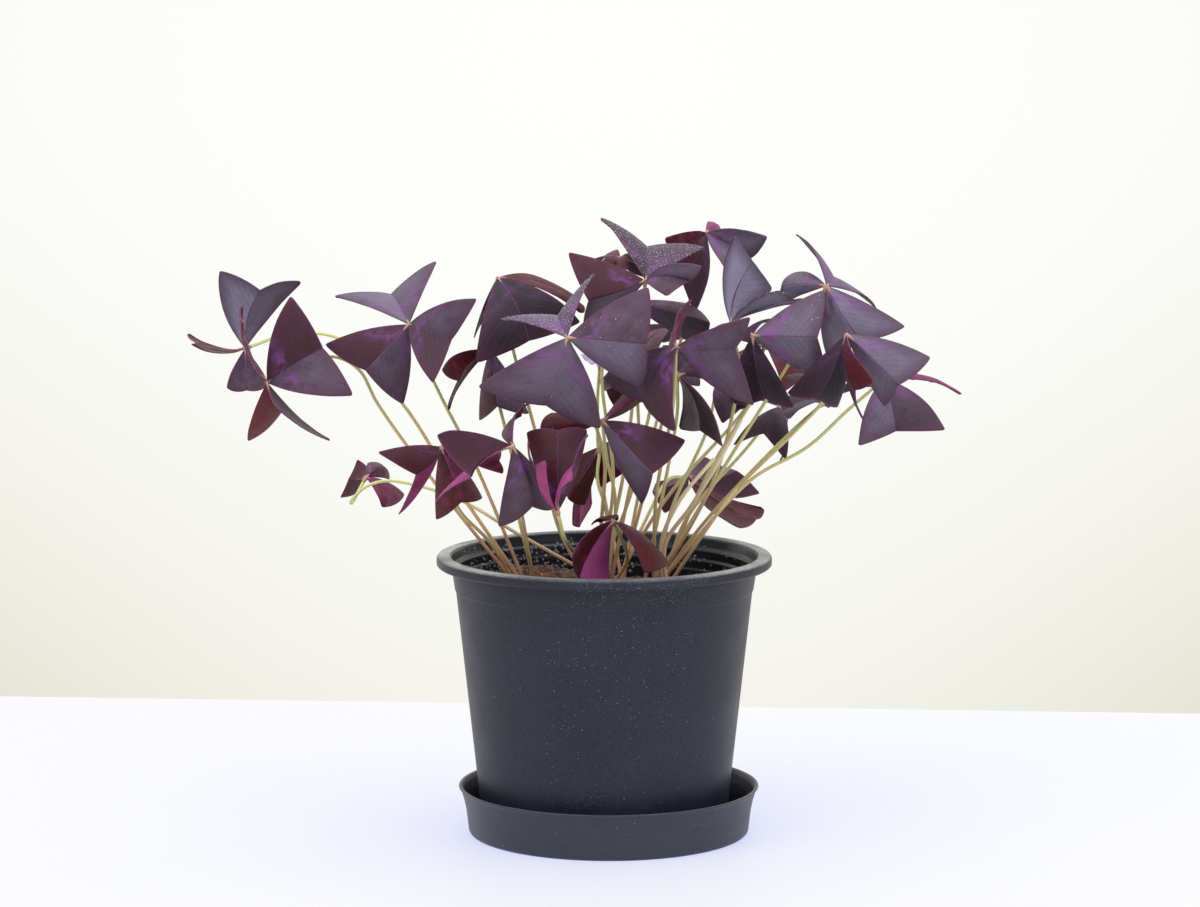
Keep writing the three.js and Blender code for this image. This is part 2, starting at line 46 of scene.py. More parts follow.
MM = 0.001
turned_facets = 160
saucer_wall = 1.5
saucer_floor = 2.0
saucer_outside = [(63.0, 1.0), (63.6, 6.0), (64.2, 11.0), (65.2, 15.5), (66.5, 19.8)]
saucer_lip = [(67.5, 20.9), (67.3, 21.5), (66.0, 21.5)]
saucer_foot = 62.0
saucer_inner_foot = 60.6
saucer_corners = 0.6
plastic_relief = 0.00008


def rounded(start, corner, end, share):
    """A point on the bend from start to end that a corner pulls outwards."""
    return start.lerp(corner, share).lerp(corner.lerp(end, share), share)


def softened(profile, radius):
    """The profile with its corners rounded, and its flats held flat right up to them."""
    long_side = 6 * radius
    points = [Vector(point) for point in profile]
    soft = [points[0]]
    for before, corner, after in zip(points, points[1:], points[2:]):
        back = before - corner
        ahead = after - corner
        reach = min(radius, 0.4 * back.length, 0.4 * ahead.length)
        start = corner + back.normalized() * reach
        end = corner + ahead.normalized() * reach
        if back.length > long_side:
            soft.append(start + back.normalized() * radius)
        soft.extend(rounded(start, corner, end, share) for share in (0, 0.25, 0.5, 0.75, 1))
        if ahead.length > long_side:
            soft.append(end + ahead.normalized() * radius)
    return [*soft, points[-1]]


def new_piece(name, vertices, faces, edges=()):
    """An object at the origin, with its place in its mesh."""
    mesh = bpy.data.meshes.new(name)
    mesh.from_pydata([tuple(v) for v in vertices], list(edges), faces)
    mesh.update()
    piece = bpy.data.objects.new(name, mesh)
    bpy.context.scene.collection.objects.link(piece)
    return piece


def turned(name, profile, centre_x=0.0):
    """A closed profile of (radius, height) points turned about an upright axis."""
    vertices = []
    rings = []
    for radius, height in profile:
        if radius == 0:
            rings.append([len(vertices)] * turned_facets)
            vertices.append((centre_x * MM, 0, height * MM))
            continue
        rings.append([len(vertices) + j for j in range(turned_facets)])
        for j in range(turned_facets):
            angle = 2 * math.pi * j / turned_facets
            place = (centre_x + radius * math.cos(angle), radius * math.sin(angle), height)
            vertices.append(tuple(c * MM for c in place))
    faces = []
    for low, high in zip(rings, rings[1:]):
        for j in range(turned_facets):
            k = (j + 1) % turned_facets
            faces.append(list(dict.fromkeys([low[j], low[k], high[k], high[j]])))
    piece = new_piece(name, vertices, faces)
    piece.data.shade_smooth()
    return piece


class Nodes:
    """A node tree, with short calls for the nodes that most of the trees here are made of."""

    def __init__(self, tree, given=None, gives=None):
        self.tree = tree
        self.given = given
        self.gives = gives

    def link(self, value, socket):
        """Feeds a socket from another one, or sets it to a plain value."""
        if isinstance(value, bpy.types.NodeSocket):
            self.tree.links.new(value, socket)
        else:
            socket.default_value = value

    def add(self, kind, inputs=None, **settings):
        """The outputs of a new node, once its settings are made and its inputs fed."""
        made = self.tree.nodes.new(kind)
        for key, value in settings.items():
            setattr(made, key, value)
        for key, value in (inputs or {}).items():
            self.link(value, made.inputs[key])
        return made.outputs

    def give(self, **values):
        """Feeds what the tree puts out."""
        for label, value in values.items():
            self.link(value, self.gives[label])

    def place(self):
        """Where a point lies on its piece, whose object sits at the origin."""
        return self.add("ShaderNodeTexCoord")["Object"]

    def marked(self, name):
        """A number that the mesh carries under this name."""
        return self.add("ShaderNodeAttribute", attribute_name=name)["Fac"]

    def split(self, vector):
        return self.add("ShaderNodeSeparateXYZ", {"Vector": vector})

    def noise(self, place, scale, detail):
        return self.add("ShaderNodeTexNoise", {"Vector": place, "Scale": scale, "Detail": detail})[0]

    def vector(self, operation, a, b=(0.0, 0.0, 0.0)):
        """The outputs of a sum on vectors: the first is a vector, and Value a number."""
        return self.add("ShaderNodeVectorMath", {0: a, 1: b}, operation=operation)

    def math(self, operation, a, b=0.0, clamp=False):
        return self.add("ShaderNodeMath", {0: a, 1: b}, operation=operation, use_clamp=clamp)[0]

    def plus(self, a, b, clamp=False):
        return self.math("ADD", a, b, clamp)

    def minus(self, a, b, clamp=False):
        return self.math("SUBTRACT", a, b, clamp)

    def times(self, product, *factors, clamp=False):
        """A product of two or more factors, which may be kept from 0 to 1 at its end."""
        for i, factor in enumerate(factors, 1):
            product = self.math("MULTIPLY", product, factor, clamp and i == len(factors))
        return product

    def ramp(self, value, low, high, to_low=0.0, to_high=1.0):
        """A value moved from one range to another, and held at its ends."""
        return self.add("ShaderNodeMapRange", {
            "Value": value, "From Min": low, "From Max": high, "To Min": to_low, "To Max": to_high,
        })["Result"]

    def mix(self, share, a, b):
        return self.add("ShaderNodeMix", {"Factor": share, 6: a, 7: b}, data_type="RGBA")[2]


def node_group(tree_type, name, inputs, outputs):
    """The nodes of a new group, with its sockets named in a list for each kind."""
    tree = bpy.data.node_groups.new(name, tree_type)
    for direction, sockets in (("INPUT", inputs), ("OUTPUT", outputs)):
        for kind, labels in sockets.items():
            for label in labels:
                tree.interface.new_socket(label, in_out=direction, socket_type="NodeSocket" + kind)
    start = tree.nodes.new("NodeGroupInput")
    end = tree.nodes.new("NodeGroupOutput")
    return Nodes(tree, start.outputs, end.inputs)


def surface_group(name, colours, amounts):
    """A shader group that makes a surface's colour, roughness and height from what it is given."""
    nodes = node_group("ShaderNodeTree", name, {"Color": colours, "Float": amounts},
                       {"Color": ["Colour"], "Float": ["Roughness", "Height"]})
    return nodes, nodes.given


def handled_plastic():
    """Moulded black plastic after a while in use: mottle, scuffs, dust on ledges, fine grain, and
    painted shade with a wet gloss on walls that face inwards.
    """
    nodes, given = surface_group("handled plastic", ["Colour", "Dust Colour"],
                                 ["Dust", "Dust Above", "Scuffs", "Inside Shade And Wet", "Roughness"])
    place = nodes.place()
    apart = nodes.split(place)
    angle = nodes.math("ARCTAN2", apart["Y"], apart["X"])
    around = nodes.add("ShaderNodeCombineXYZ", {"X": angle, "Z": apart["Z"]})[0]
    streaks = nodes.noise(nodes.vector("MULTIPLY", around, (2.6, 1.0, 700.0))[0], 1.0, 3.0)
    mottle = nodes.noise(place, 42.0, 5.0)
    grain = nodes.noise(place, 1400.0, 2.0)
    patches = nodes.noise(place, 26.0, 2.0)
    scratch = nodes.times(nodes.ramp(streaks, 0.66, 0.72), nodes.ramp(patches, 0.52, 0.66),
                          given["Scuffs"])
    specks = nodes.add("ShaderNodeTexVoronoi", {"Vector": place, "Scale": 260.0})
    chosen = nodes.add("ShaderNodeSeparateColor", {"Color": specks["Color"]})[0]
    speck = nodes.times(nodes.ramp(specks["Distance"], 0.09, 0.05), nodes.ramp(chosen, 0.86, 0.88))
    facing = nodes.add("ShaderNodeNewGeometry")["Normal"]
    ledge = nodes.times(nodes.ramp(nodes.split(facing)["Z"], 0.35, 0.95), nodes.ramp(mottle, 0.2, 0.62))
    high_up = nodes.math("GREATER_THAN", apart["Z"], given["Dust Above"])
    sides = nodes.ramp(nodes.math("ABSOLUTE", apart["X"]), 0.03, 0.066, 0.3, 1.0)
    dusty = nodes.times(ledge, high_up, sides, nodes.ramp(grain, 0.35, 0.65, 0.4, 1.15), given["Dust"],
                        clamp=True)
    pepper = nodes.times(nodes.ramp(grain, 0.4, 0.75), 0.07)
    tint = nodes.plus(pepper, nodes.ramp(mottle, 0.3, 0.7, 0.0, 0.03))
    colour = nodes.mix(tint, given["Colour"], (0.24, 0.24, 0.30, 1))
    colour = nodes.mix(dusty, colour, given["Dust Colour"])
    light = nodes.math("MAXIMUM", nodes.times(scratch, 0.5), speck)
    colour = nodes.mix(light, colour, (0.16, 0.17, 0.2, 1))
    spoke = nodes.vector("NORMALIZE", nodes.vector("MULTIPLY", place, (1.0, 1.0, 0.0))[0])[0]
    turned_out = nodes.vector("DOT_PRODUCT", spoke, facing)["Value"]
    # Painted shade: walls that face inwards are darkened to near black, and made glossier as if wet.
    wet = nodes.times(nodes.ramp(turned_out, -0.3, -0.7), given["Inside Shade And Wet"])
    colour = nodes.mix(nodes.times(wet, 0.8), colour, (0.002, 0.002, 0.003, 1))
    rough = nodes.plus(given["Roughness"], nodes.ramp(mottle, 0.3, 0.7, -0.06, 0.08))
    rough = nodes.minus(nodes.plus(rough, nodes.times(dusty, 0.25)), nodes.times(wet, 0.2))
    nodes.give(Colour=colour, Roughness=rough, Height=nodes.minus(nodes.times(grain, 0.35), scratch))
    return nodes.tree


def principled(name, **sockets):
    """A new material, its nodes, and its Principled BSDF's inputs with the plain ones set."""
    material = bpy.data.materials.new(name)
    material.use_nodes = True
    shader = material.node_tree.nodes["Principled BSDF"]
    for key, value in sockets.items():
        shader.inputs[key.replace("_", " ")].default_value = value
    return material, Nodes(material.node_tree), shader.inputs


def surfaced(name, group, relief, values, **sockets):
    """A material fed by a surface group. A value that is a name is read from that attribute."""
    material, nodes, shader = principled(name, **sockets)
    values = {key: nodes.marked(value) if isinstance(value, str) else value
              for key, value in values.items()}
    surface = nodes.add("ShaderNodeGroup", values, node_tree=group)
    bump = nodes.add("ShaderNodeBump", {"Height": surface["Height"], "Distance": relief})
    nodes.link(surface["Colour"], shader["Base Color"])
    nodes.link(surface["Roughness"], shader["Roughness"])
    nodes.link(bump[0], shader["Normal"])
    return material


plastic_wear = handled_plastic()
inner_wall = [(radius - saucer_wall, height) for radius, height in reversed(saucer_outside[1:])]
saucer_profile = [
    (0, 0), (saucer_foot, 0), *saucer_outside, *saucer_lip, *inner_wall,
    (saucer_inner_foot, saucer_floor), (0, saucer_floor),
]
saucer = turned("saucer_dish", softened(saucer_profile, saucer_corners))
saucer.data.materials.append(surfaced("saucer plastic", plastic_wear, plastic_relief, {
    "Colour": (0.018, 0.018, 0.030, 1), "Dust Colour": (0.24, 0.24, 0.27, 1), "Dust": 0.6,
    "Dust Above": 0.0, "Scuffs": 1.0, "Inside Shade And Wet": 0.0, "Roughness": 0.42,
}, Specular_IOR_Level=0.5))
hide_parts("saucer")
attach(saucer, "root")

# ---- Pot ------------------------------------------------------------------------------
# A thin-walled black nursery pot, moulded like the saucer. Its wide rolled rim stiffens the
# mouth, a faint ring runs round the wall below it, and stacking steps ring the inside.

pot_centre_x = -2.0
pot_corners = 0.5
pot_profile = [
    (0, 2.3), (53.7, 2.3), (54.7, 3.3),
    (66.4, 110.2), (66.75, 110.5), (66.95, 111.1), (67.0, 111.6),
    (68.4, 121.0), (68.4, 124.0), (73.3, 124.0), (73.3, 121.3),
    (74.0, 121.2), (75.0, 122.0), (75.0, 125.0), (74.2, 126.0), (69.3, 126.0),
    (68.4, 125.3), (67.4, 121.6), (66.7, 120.9), (65.6, 120.3),
    (65.2, 116.4), (64.6, 115.9), (64.3, 115.4), (64.0, 111.8), (63.5, 111.2),
    (53.5, 4.3), (0, 4.3),
]
pot_dust_above = 123.0
# Drops on the inside of the back wall: between which heights they hang, how far back the wall
# begins, and how thickly they hang to the left and to the right of their edge.
drops_low, drops_high = 106, 124
drops_back = 20
drops_edge = 10
drops_left, drops_right = 1.0, 0.25
# Fine spray on the front, thinning out down the wall: each zone's least height, how far
# forward it starts, its middle and half width, the most its faces look back, and its share.
spray_zones = [
    (119, -50, 14, 30, 2.0, 1.0),
    (100, -50, 6, 34, 0.0, 0.1),
    (50, -40, 0, 28, 0.0, 0.02),
]
pot = turned("pot_shell", softened(pot_profile, pot_corners), pot_centre_x)
pot.data.materials.append(surfaced("pot plastic", plastic_wear, plastic_relief, {
    "Colour": (0.009, 0.009, 0.021, 1), "Dust Colour": (0.48, 0.47, 0.43, 1), "Dust": 1.6,
    "Dust Above": pot_dust_above * MM, "Scuffs": 0.25, "Inside Shade And Wet": 1.0, "Roughness": 0.46,
}, Specular_IOR_Level=0.34))


def growing_tree(name, **inputs):
    """The nodes of a Geometry Nodes tree, with what it is given besides the geometry."""
    nodes = node_group("GeometryNodeTree", name, {"Geometry": ["Geometry"], **inputs},
                       {"Geometry": ["Geometry"]})
    return nodes, nodes.given


def grown(piece, tree, values):
    """Runs a Geometry Nodes tree on a piece and keeps the result as its plain mesh."""
    modifier = piece.modifiers.new(tree.name, "NODES")
    modifier.node_group = tree
    sockets = {s.name: s for s in tree.interface.items_tree if s.in_out == "INPUT"}
    for label, value in values.items():
        modifier[sockets[label].identifier] = value
    settled(piece)


def settled(piece):
    """Keeps what a piece's modifiers make of it as its plain mesh."""
    mesh = bpy.data.meshes.new_from_object(piece.evaluated_get(bpy.context.evaluated_depsgraph_get()))
    mesh.name = piece.name
    piece.modifiers.clear()
    piece.data = mesh


def strewn(nodes, spots, shape, size):
    """Ends a tree with a shape on each spot, beside the piece that it was given."""
    bare = nodes.add("GeometryNodeRemoveAttribute", {"Geometry": spots["Points"], "Name": "*"},
                     pattern_mode="WILDCARD")
    copies = nodes.add("GeometryNodeInstanceOnPoints", {
        "Points": bare[0], "Instance": shape, "Rotation": spots["Rotation"], "Scale": size,
    })
    real = nodes.add("GeometryNodeRealizeInstances", {"Geometry": copies[0]})
    dressed = nodes.add("GeometryNodeSetMaterial",
                        {"Geometry": real[0], "Material": nodes.given["Material"]})
    both = nodes.tree.nodes.new("GeometryNodeJoinGeometry")
    nodes.link(dressed[0], both.inputs[0])
    nodes.link(nodes.given["Geometry"], both.inputs[0])
    nodes.give(Geometry=both.outputs[0])


def scattered(name):
    """Small solids scattered over a piece's faces, such as crumbs of soil or beads of water."""
    nodes, given = growing_tree(
        name, Float=["Spacing", "Density", "Smallest", "Largest", "Height"],
        Int=["Fineness", "Seed"], Bool=["Smooth"], Material=["Material"])
    amount = nodes.add("GeometryNodeInputNamedAttribute", {"Name": "scatter"}, data_type="FLOAT")
    spots = nodes.add("GeometryNodeDistributePointsOnFaces", {
        "Mesh": given["Geometry"], "Distance Min": given["Spacing"], "Density Max": given["Density"],
        "Density Factor": amount[0], "Seed": given["Seed"],
    }, distribute_method="POISSON")
    ball = nodes.add("GeometryNodeMeshIcoSphere", {"Radius": 1.0, "Subdivisions": given["Fineness"]})
    smooth = nodes.add("GeometryNodeSetShadeSmooth",
                       {"Geometry": ball["Mesh"], "Shade Smooth": given["Smooth"]})
    girth = nodes.add("FunctionNodeRandomValue", {
        2: given["Smallest"], 3: given["Largest"], "Seed": given["Seed"],
    }, data_type="FLOAT")
    stretch = nodes.add("FunctionNodeRandomValue", {
        0: (0.7, 0.7, 0.7), 1: (1.1, 1.1, 1.1), "Seed": 5,
    }, data_type="FLOAT_VECTOR")
    flat = nodes.add("ShaderNodeCombineXYZ", {"X": 1.0, "Y": 1.0, "Z": given["Height"]})
    size = nodes.add("ShaderNodeVectorMath", {
        0: nodes.vector("MULTIPLY", stretch[0], flat[0])[0], "Scale": girth[1],
    }, operation="SCALE")
    strewn(nodes, spots, smooth[0], size[0])
    return nodes.tree


def weigh(piece, share):
    """Stores how thickly things are scattered at each corner of a piece, from its place."""
    layers = piece.data.attributes
    layer = layers.get("scatter") or layers.new("scatter", "FLOAT", "POINT")
    layer.data.foreach_set("value", [share(v.co / MM, v.normal) for v in piece.data.vertices])


def dropped_inside(place, normal):
    """How thickly drops hang at a place on the pot."""
    if drops_low < place.z < drops_high and place.y > drops_back and normal.y < -0.3:
        return drops_left if place.x < drops_edge else drops_right
    return 0.0


def sprayed_outside(place, normal):
    """How thickly spray lies at a place on the pot."""
    for low, front, middle, reach, lean, share in spray_zones:
        if place.z > low and place.y < front and abs(place.x - middle) < reach and normal.y < lean:
            return share
    return 0.0


# Drops are mostly clear water; a fifth of each is milky white, a painted glint that lets them show.
water, nodes, shader = principled(
    "water", Base_Color=(0.95, 0.97, 1.0, 1), Roughness=0.05, IOR=1.33, Transmission_Weight=0.8)
ripple = nodes.noise(nodes.place(), 900.0, 2.0)
swell = nodes.add("ShaderNodeBump", {"Height": ripple, "Distance": 0.00004})
nodes.link(swell[0], shader["Normal"])
beads = scattered("beads")
weigh(pot, dropped_inside)
grown(pot, beads, {
    "Spacing": 0.0013, "Density": 260000.0, "Smallest": 0.00035, "Largest": 0.0009,
    "Height": 0.5, "Fineness": 2, "Seed": 4, "Smooth": True, "Material": water,
})
weigh(pot, sprayed_outside)
grown(pot, beads, {
    "Spacing": 0.0006, "Density": 900000.0, "Smallest": 0.00010, "Largest": 0.00029,
    "Height": 0.5, "Fineness": 1, "Seed": 6, "Smooth": True, "Material": water,
})
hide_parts("pot")
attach(pot, "root")

# ---- Soil -----------------------------------------------------------------------------
# Moist reddish-brown potting mix, heaped a little towards the middle and banked up at the
# back left, with loose crumbs lying on it. It fills the pot to a finger's width under the rim.

soil_rings = 70
soil_facets = 180
soil_top = [(64.6, 105.6), (50, 107.4), (30, 108.4), (0, 108.9)]
soil_foot = (53.0, 4.6)
soil_sink = 0.3
lump_height = 1.3
lump_size = 9
grit_height = 0.45
grit_size = 1.7
bank_height = 7.5
bank_place = (-34, 34)
bank_spread = 700
crumbs_above = 100
crumbs_slope = 0.3


def soil_height(radius):
    """The height of the heap's plain form, a few slopes from the wall to its middle."""
    for (outer, low), (inner, high) in zip(soil_top, soil_top[1:]):
        if radius >= inner:
            return low + (high - low) * (outer - radius) / (outer - inner)
    return soil_top[-1][1]


def round_soil(radius, j):
    angle = 2 * math.pi * j / soil_facets
    return radius * math.cos(angle), radius * math.sin(angle)


def soil_point(radius, j):
    """A point of the soil's top, lumpy and gritty, and raised by the bank."""
    x, y = round_soil(radius, j)
    lump = noise.fractal(Vector((x, y, 0)) / lump_size, 0.6, 2.0, 4) * lump_height
    off_bank = (x - bank_place[0]) ** 2 + (y - bank_place[1]) ** 2
    lump += bank_height * math.exp(-off_bank / bank_spread)
    grit = noise.noise(Vector((x, y, 3)) / grit_size) * grit_height
    return Vector((pot_centre_x + x, y, soil_height(radius) + lump + grit - soil_sink))


vertices = [Vector((pot_centre_x, 0, soil_height(0)))]
for ring in range(1, soil_rings + 1):
    radius = soil_top[0][0] * ring / soil_rings
    vertices.extend(soil_point(radius, j) for j in range(soil_facets))
foot_start = len(vertices)
for j in range(soil_facets):
    x, y = round_soil(soil_foot[0], j)
    vertices.append(Vector((pot_centre_x + x, y, soil_foot[1])))
vertices.append(Vector((pot_centre_x, 0, soil_foot[1])))
faces = []
for j in range(soil_facets):
    k = (j + 1) % soil_facets
    faces.append((0, 1 + j, 1 + k))
    for ring in range(soil_rings):
        a = 1 + ring * soil_facets
        b = a + soil_facets
        faces.append((a + j, b + j, b + k, a + k))
    faces.append((foot_start + k, foot_start + j, len(vertices) - 1))
soil = new_piece("soil_heap", [v * MM for v in vertices], faces)
soil.data.shade_smooth()


def crumbly_soil():
    """Damp potting mix: dark clods, reddish fibre and a few pale grains."""
    nodes, given = surface_group("crumbly soil", ["Dark", "Light", "Fleck"], ["Damp"])
    place = nodes.place()
    clods = nodes.noise(place, 260.0, 6.0)
    grains = nodes.add("ShaderNodeTexVoronoi", {"Vector": place, "Scale": 700.0})
    colour = nodes.mix(nodes.ramp(clods, 0.38, 0.66), given["Dark"], given["Light"])
    pick = nodes.add("ShaderNodeSeparateColor", {"Color": grains["Color"]})[0]
    colour = nodes.mix(nodes.ramp(pick, 0.86, 0.95), colour, given["Fleck"])
    wet = nodes.times(nodes.ramp(nodes.noise(place, 45.0, 3.0), 0.4, 0.65), given["Damp"])
    colour = nodes.mix(wet, colour, given["Dark"])
    nodes.give(Colour=colour, Roughness=nodes.ramp(wet, 0.0, 1.0, 0.92, 0.5),
               Height=nodes.plus(clods, grains["Distance"]))
    return nodes.tree


soil_material = surfaced("potting soil", crumbly_soil(), 0.0004, {
    "Dark": (0.034, 0.013, 0.008, 1), "Light": (0.19, 0.072, 0.038, 1),
    "Fleck": (0.32, 0.17, 0.10, 1), "Damp": 0.5,
})
soil.data.materials.append(soil_material)
weigh(soil, lambda place, normal: float(normal.z > crumbs_slope and place.z > crumbs_above))
grown(soil, scattered("crumbs"), {
    "Spacing": 0.0013, "Density": 230000.0, "Smallest": 0.0004, "Largest": 0.0013,
    "Height": 0.8, "Fineness": 1, "Seed": 11, "Smooth": False, "Material": soil_material,
})
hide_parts("soil")
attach(soil, "root")

# ---- Petioles -------------------------------------------------------------------------
# Each leaf stands on its own fleshy stalk, which rises from a scaly bulb in the soil. A
# stalk is pinkish where it leaves the bulb, tan further up, and yellow-green at the leaf.

sight_tilt = 0.1285
joint_length = 3.3
crown_top = 110.0
rooted = 4.0
stem_turn = 2.4
stem_spacing = 1.6
stem_spans = 10
stem_sides = 10
foot_girth = 0.86
neck_girth = 0.72
clumps = {"left": (-34, -8), "middle": (-5, -8), "right": (19, -4), "back": (4, 22)}
crown_girth = 7.2
# A bulb as (height over its stalk's foot, girth), and a crown as (height, share of its girth).
bulb_shape = [(-8.5, 0.2), (-7.5, 1.2), (-5.0, 2.3), (-2.0, 2.7),
              (1.0, 2.4), (3.2, 1.8), (5.0, 1.35), (6.2, 1.1)]
crown_shape = [(97.4, 0.5), (98.5, 0.9), (103, 1.0), (107, 0.9), (108.6, 0.6), (109.4, 0.1)]
bulb_sides = 14
bulb_sizes = (0.75, 1.0)
bulb_hue = 0.5
crown_hue = 0.9

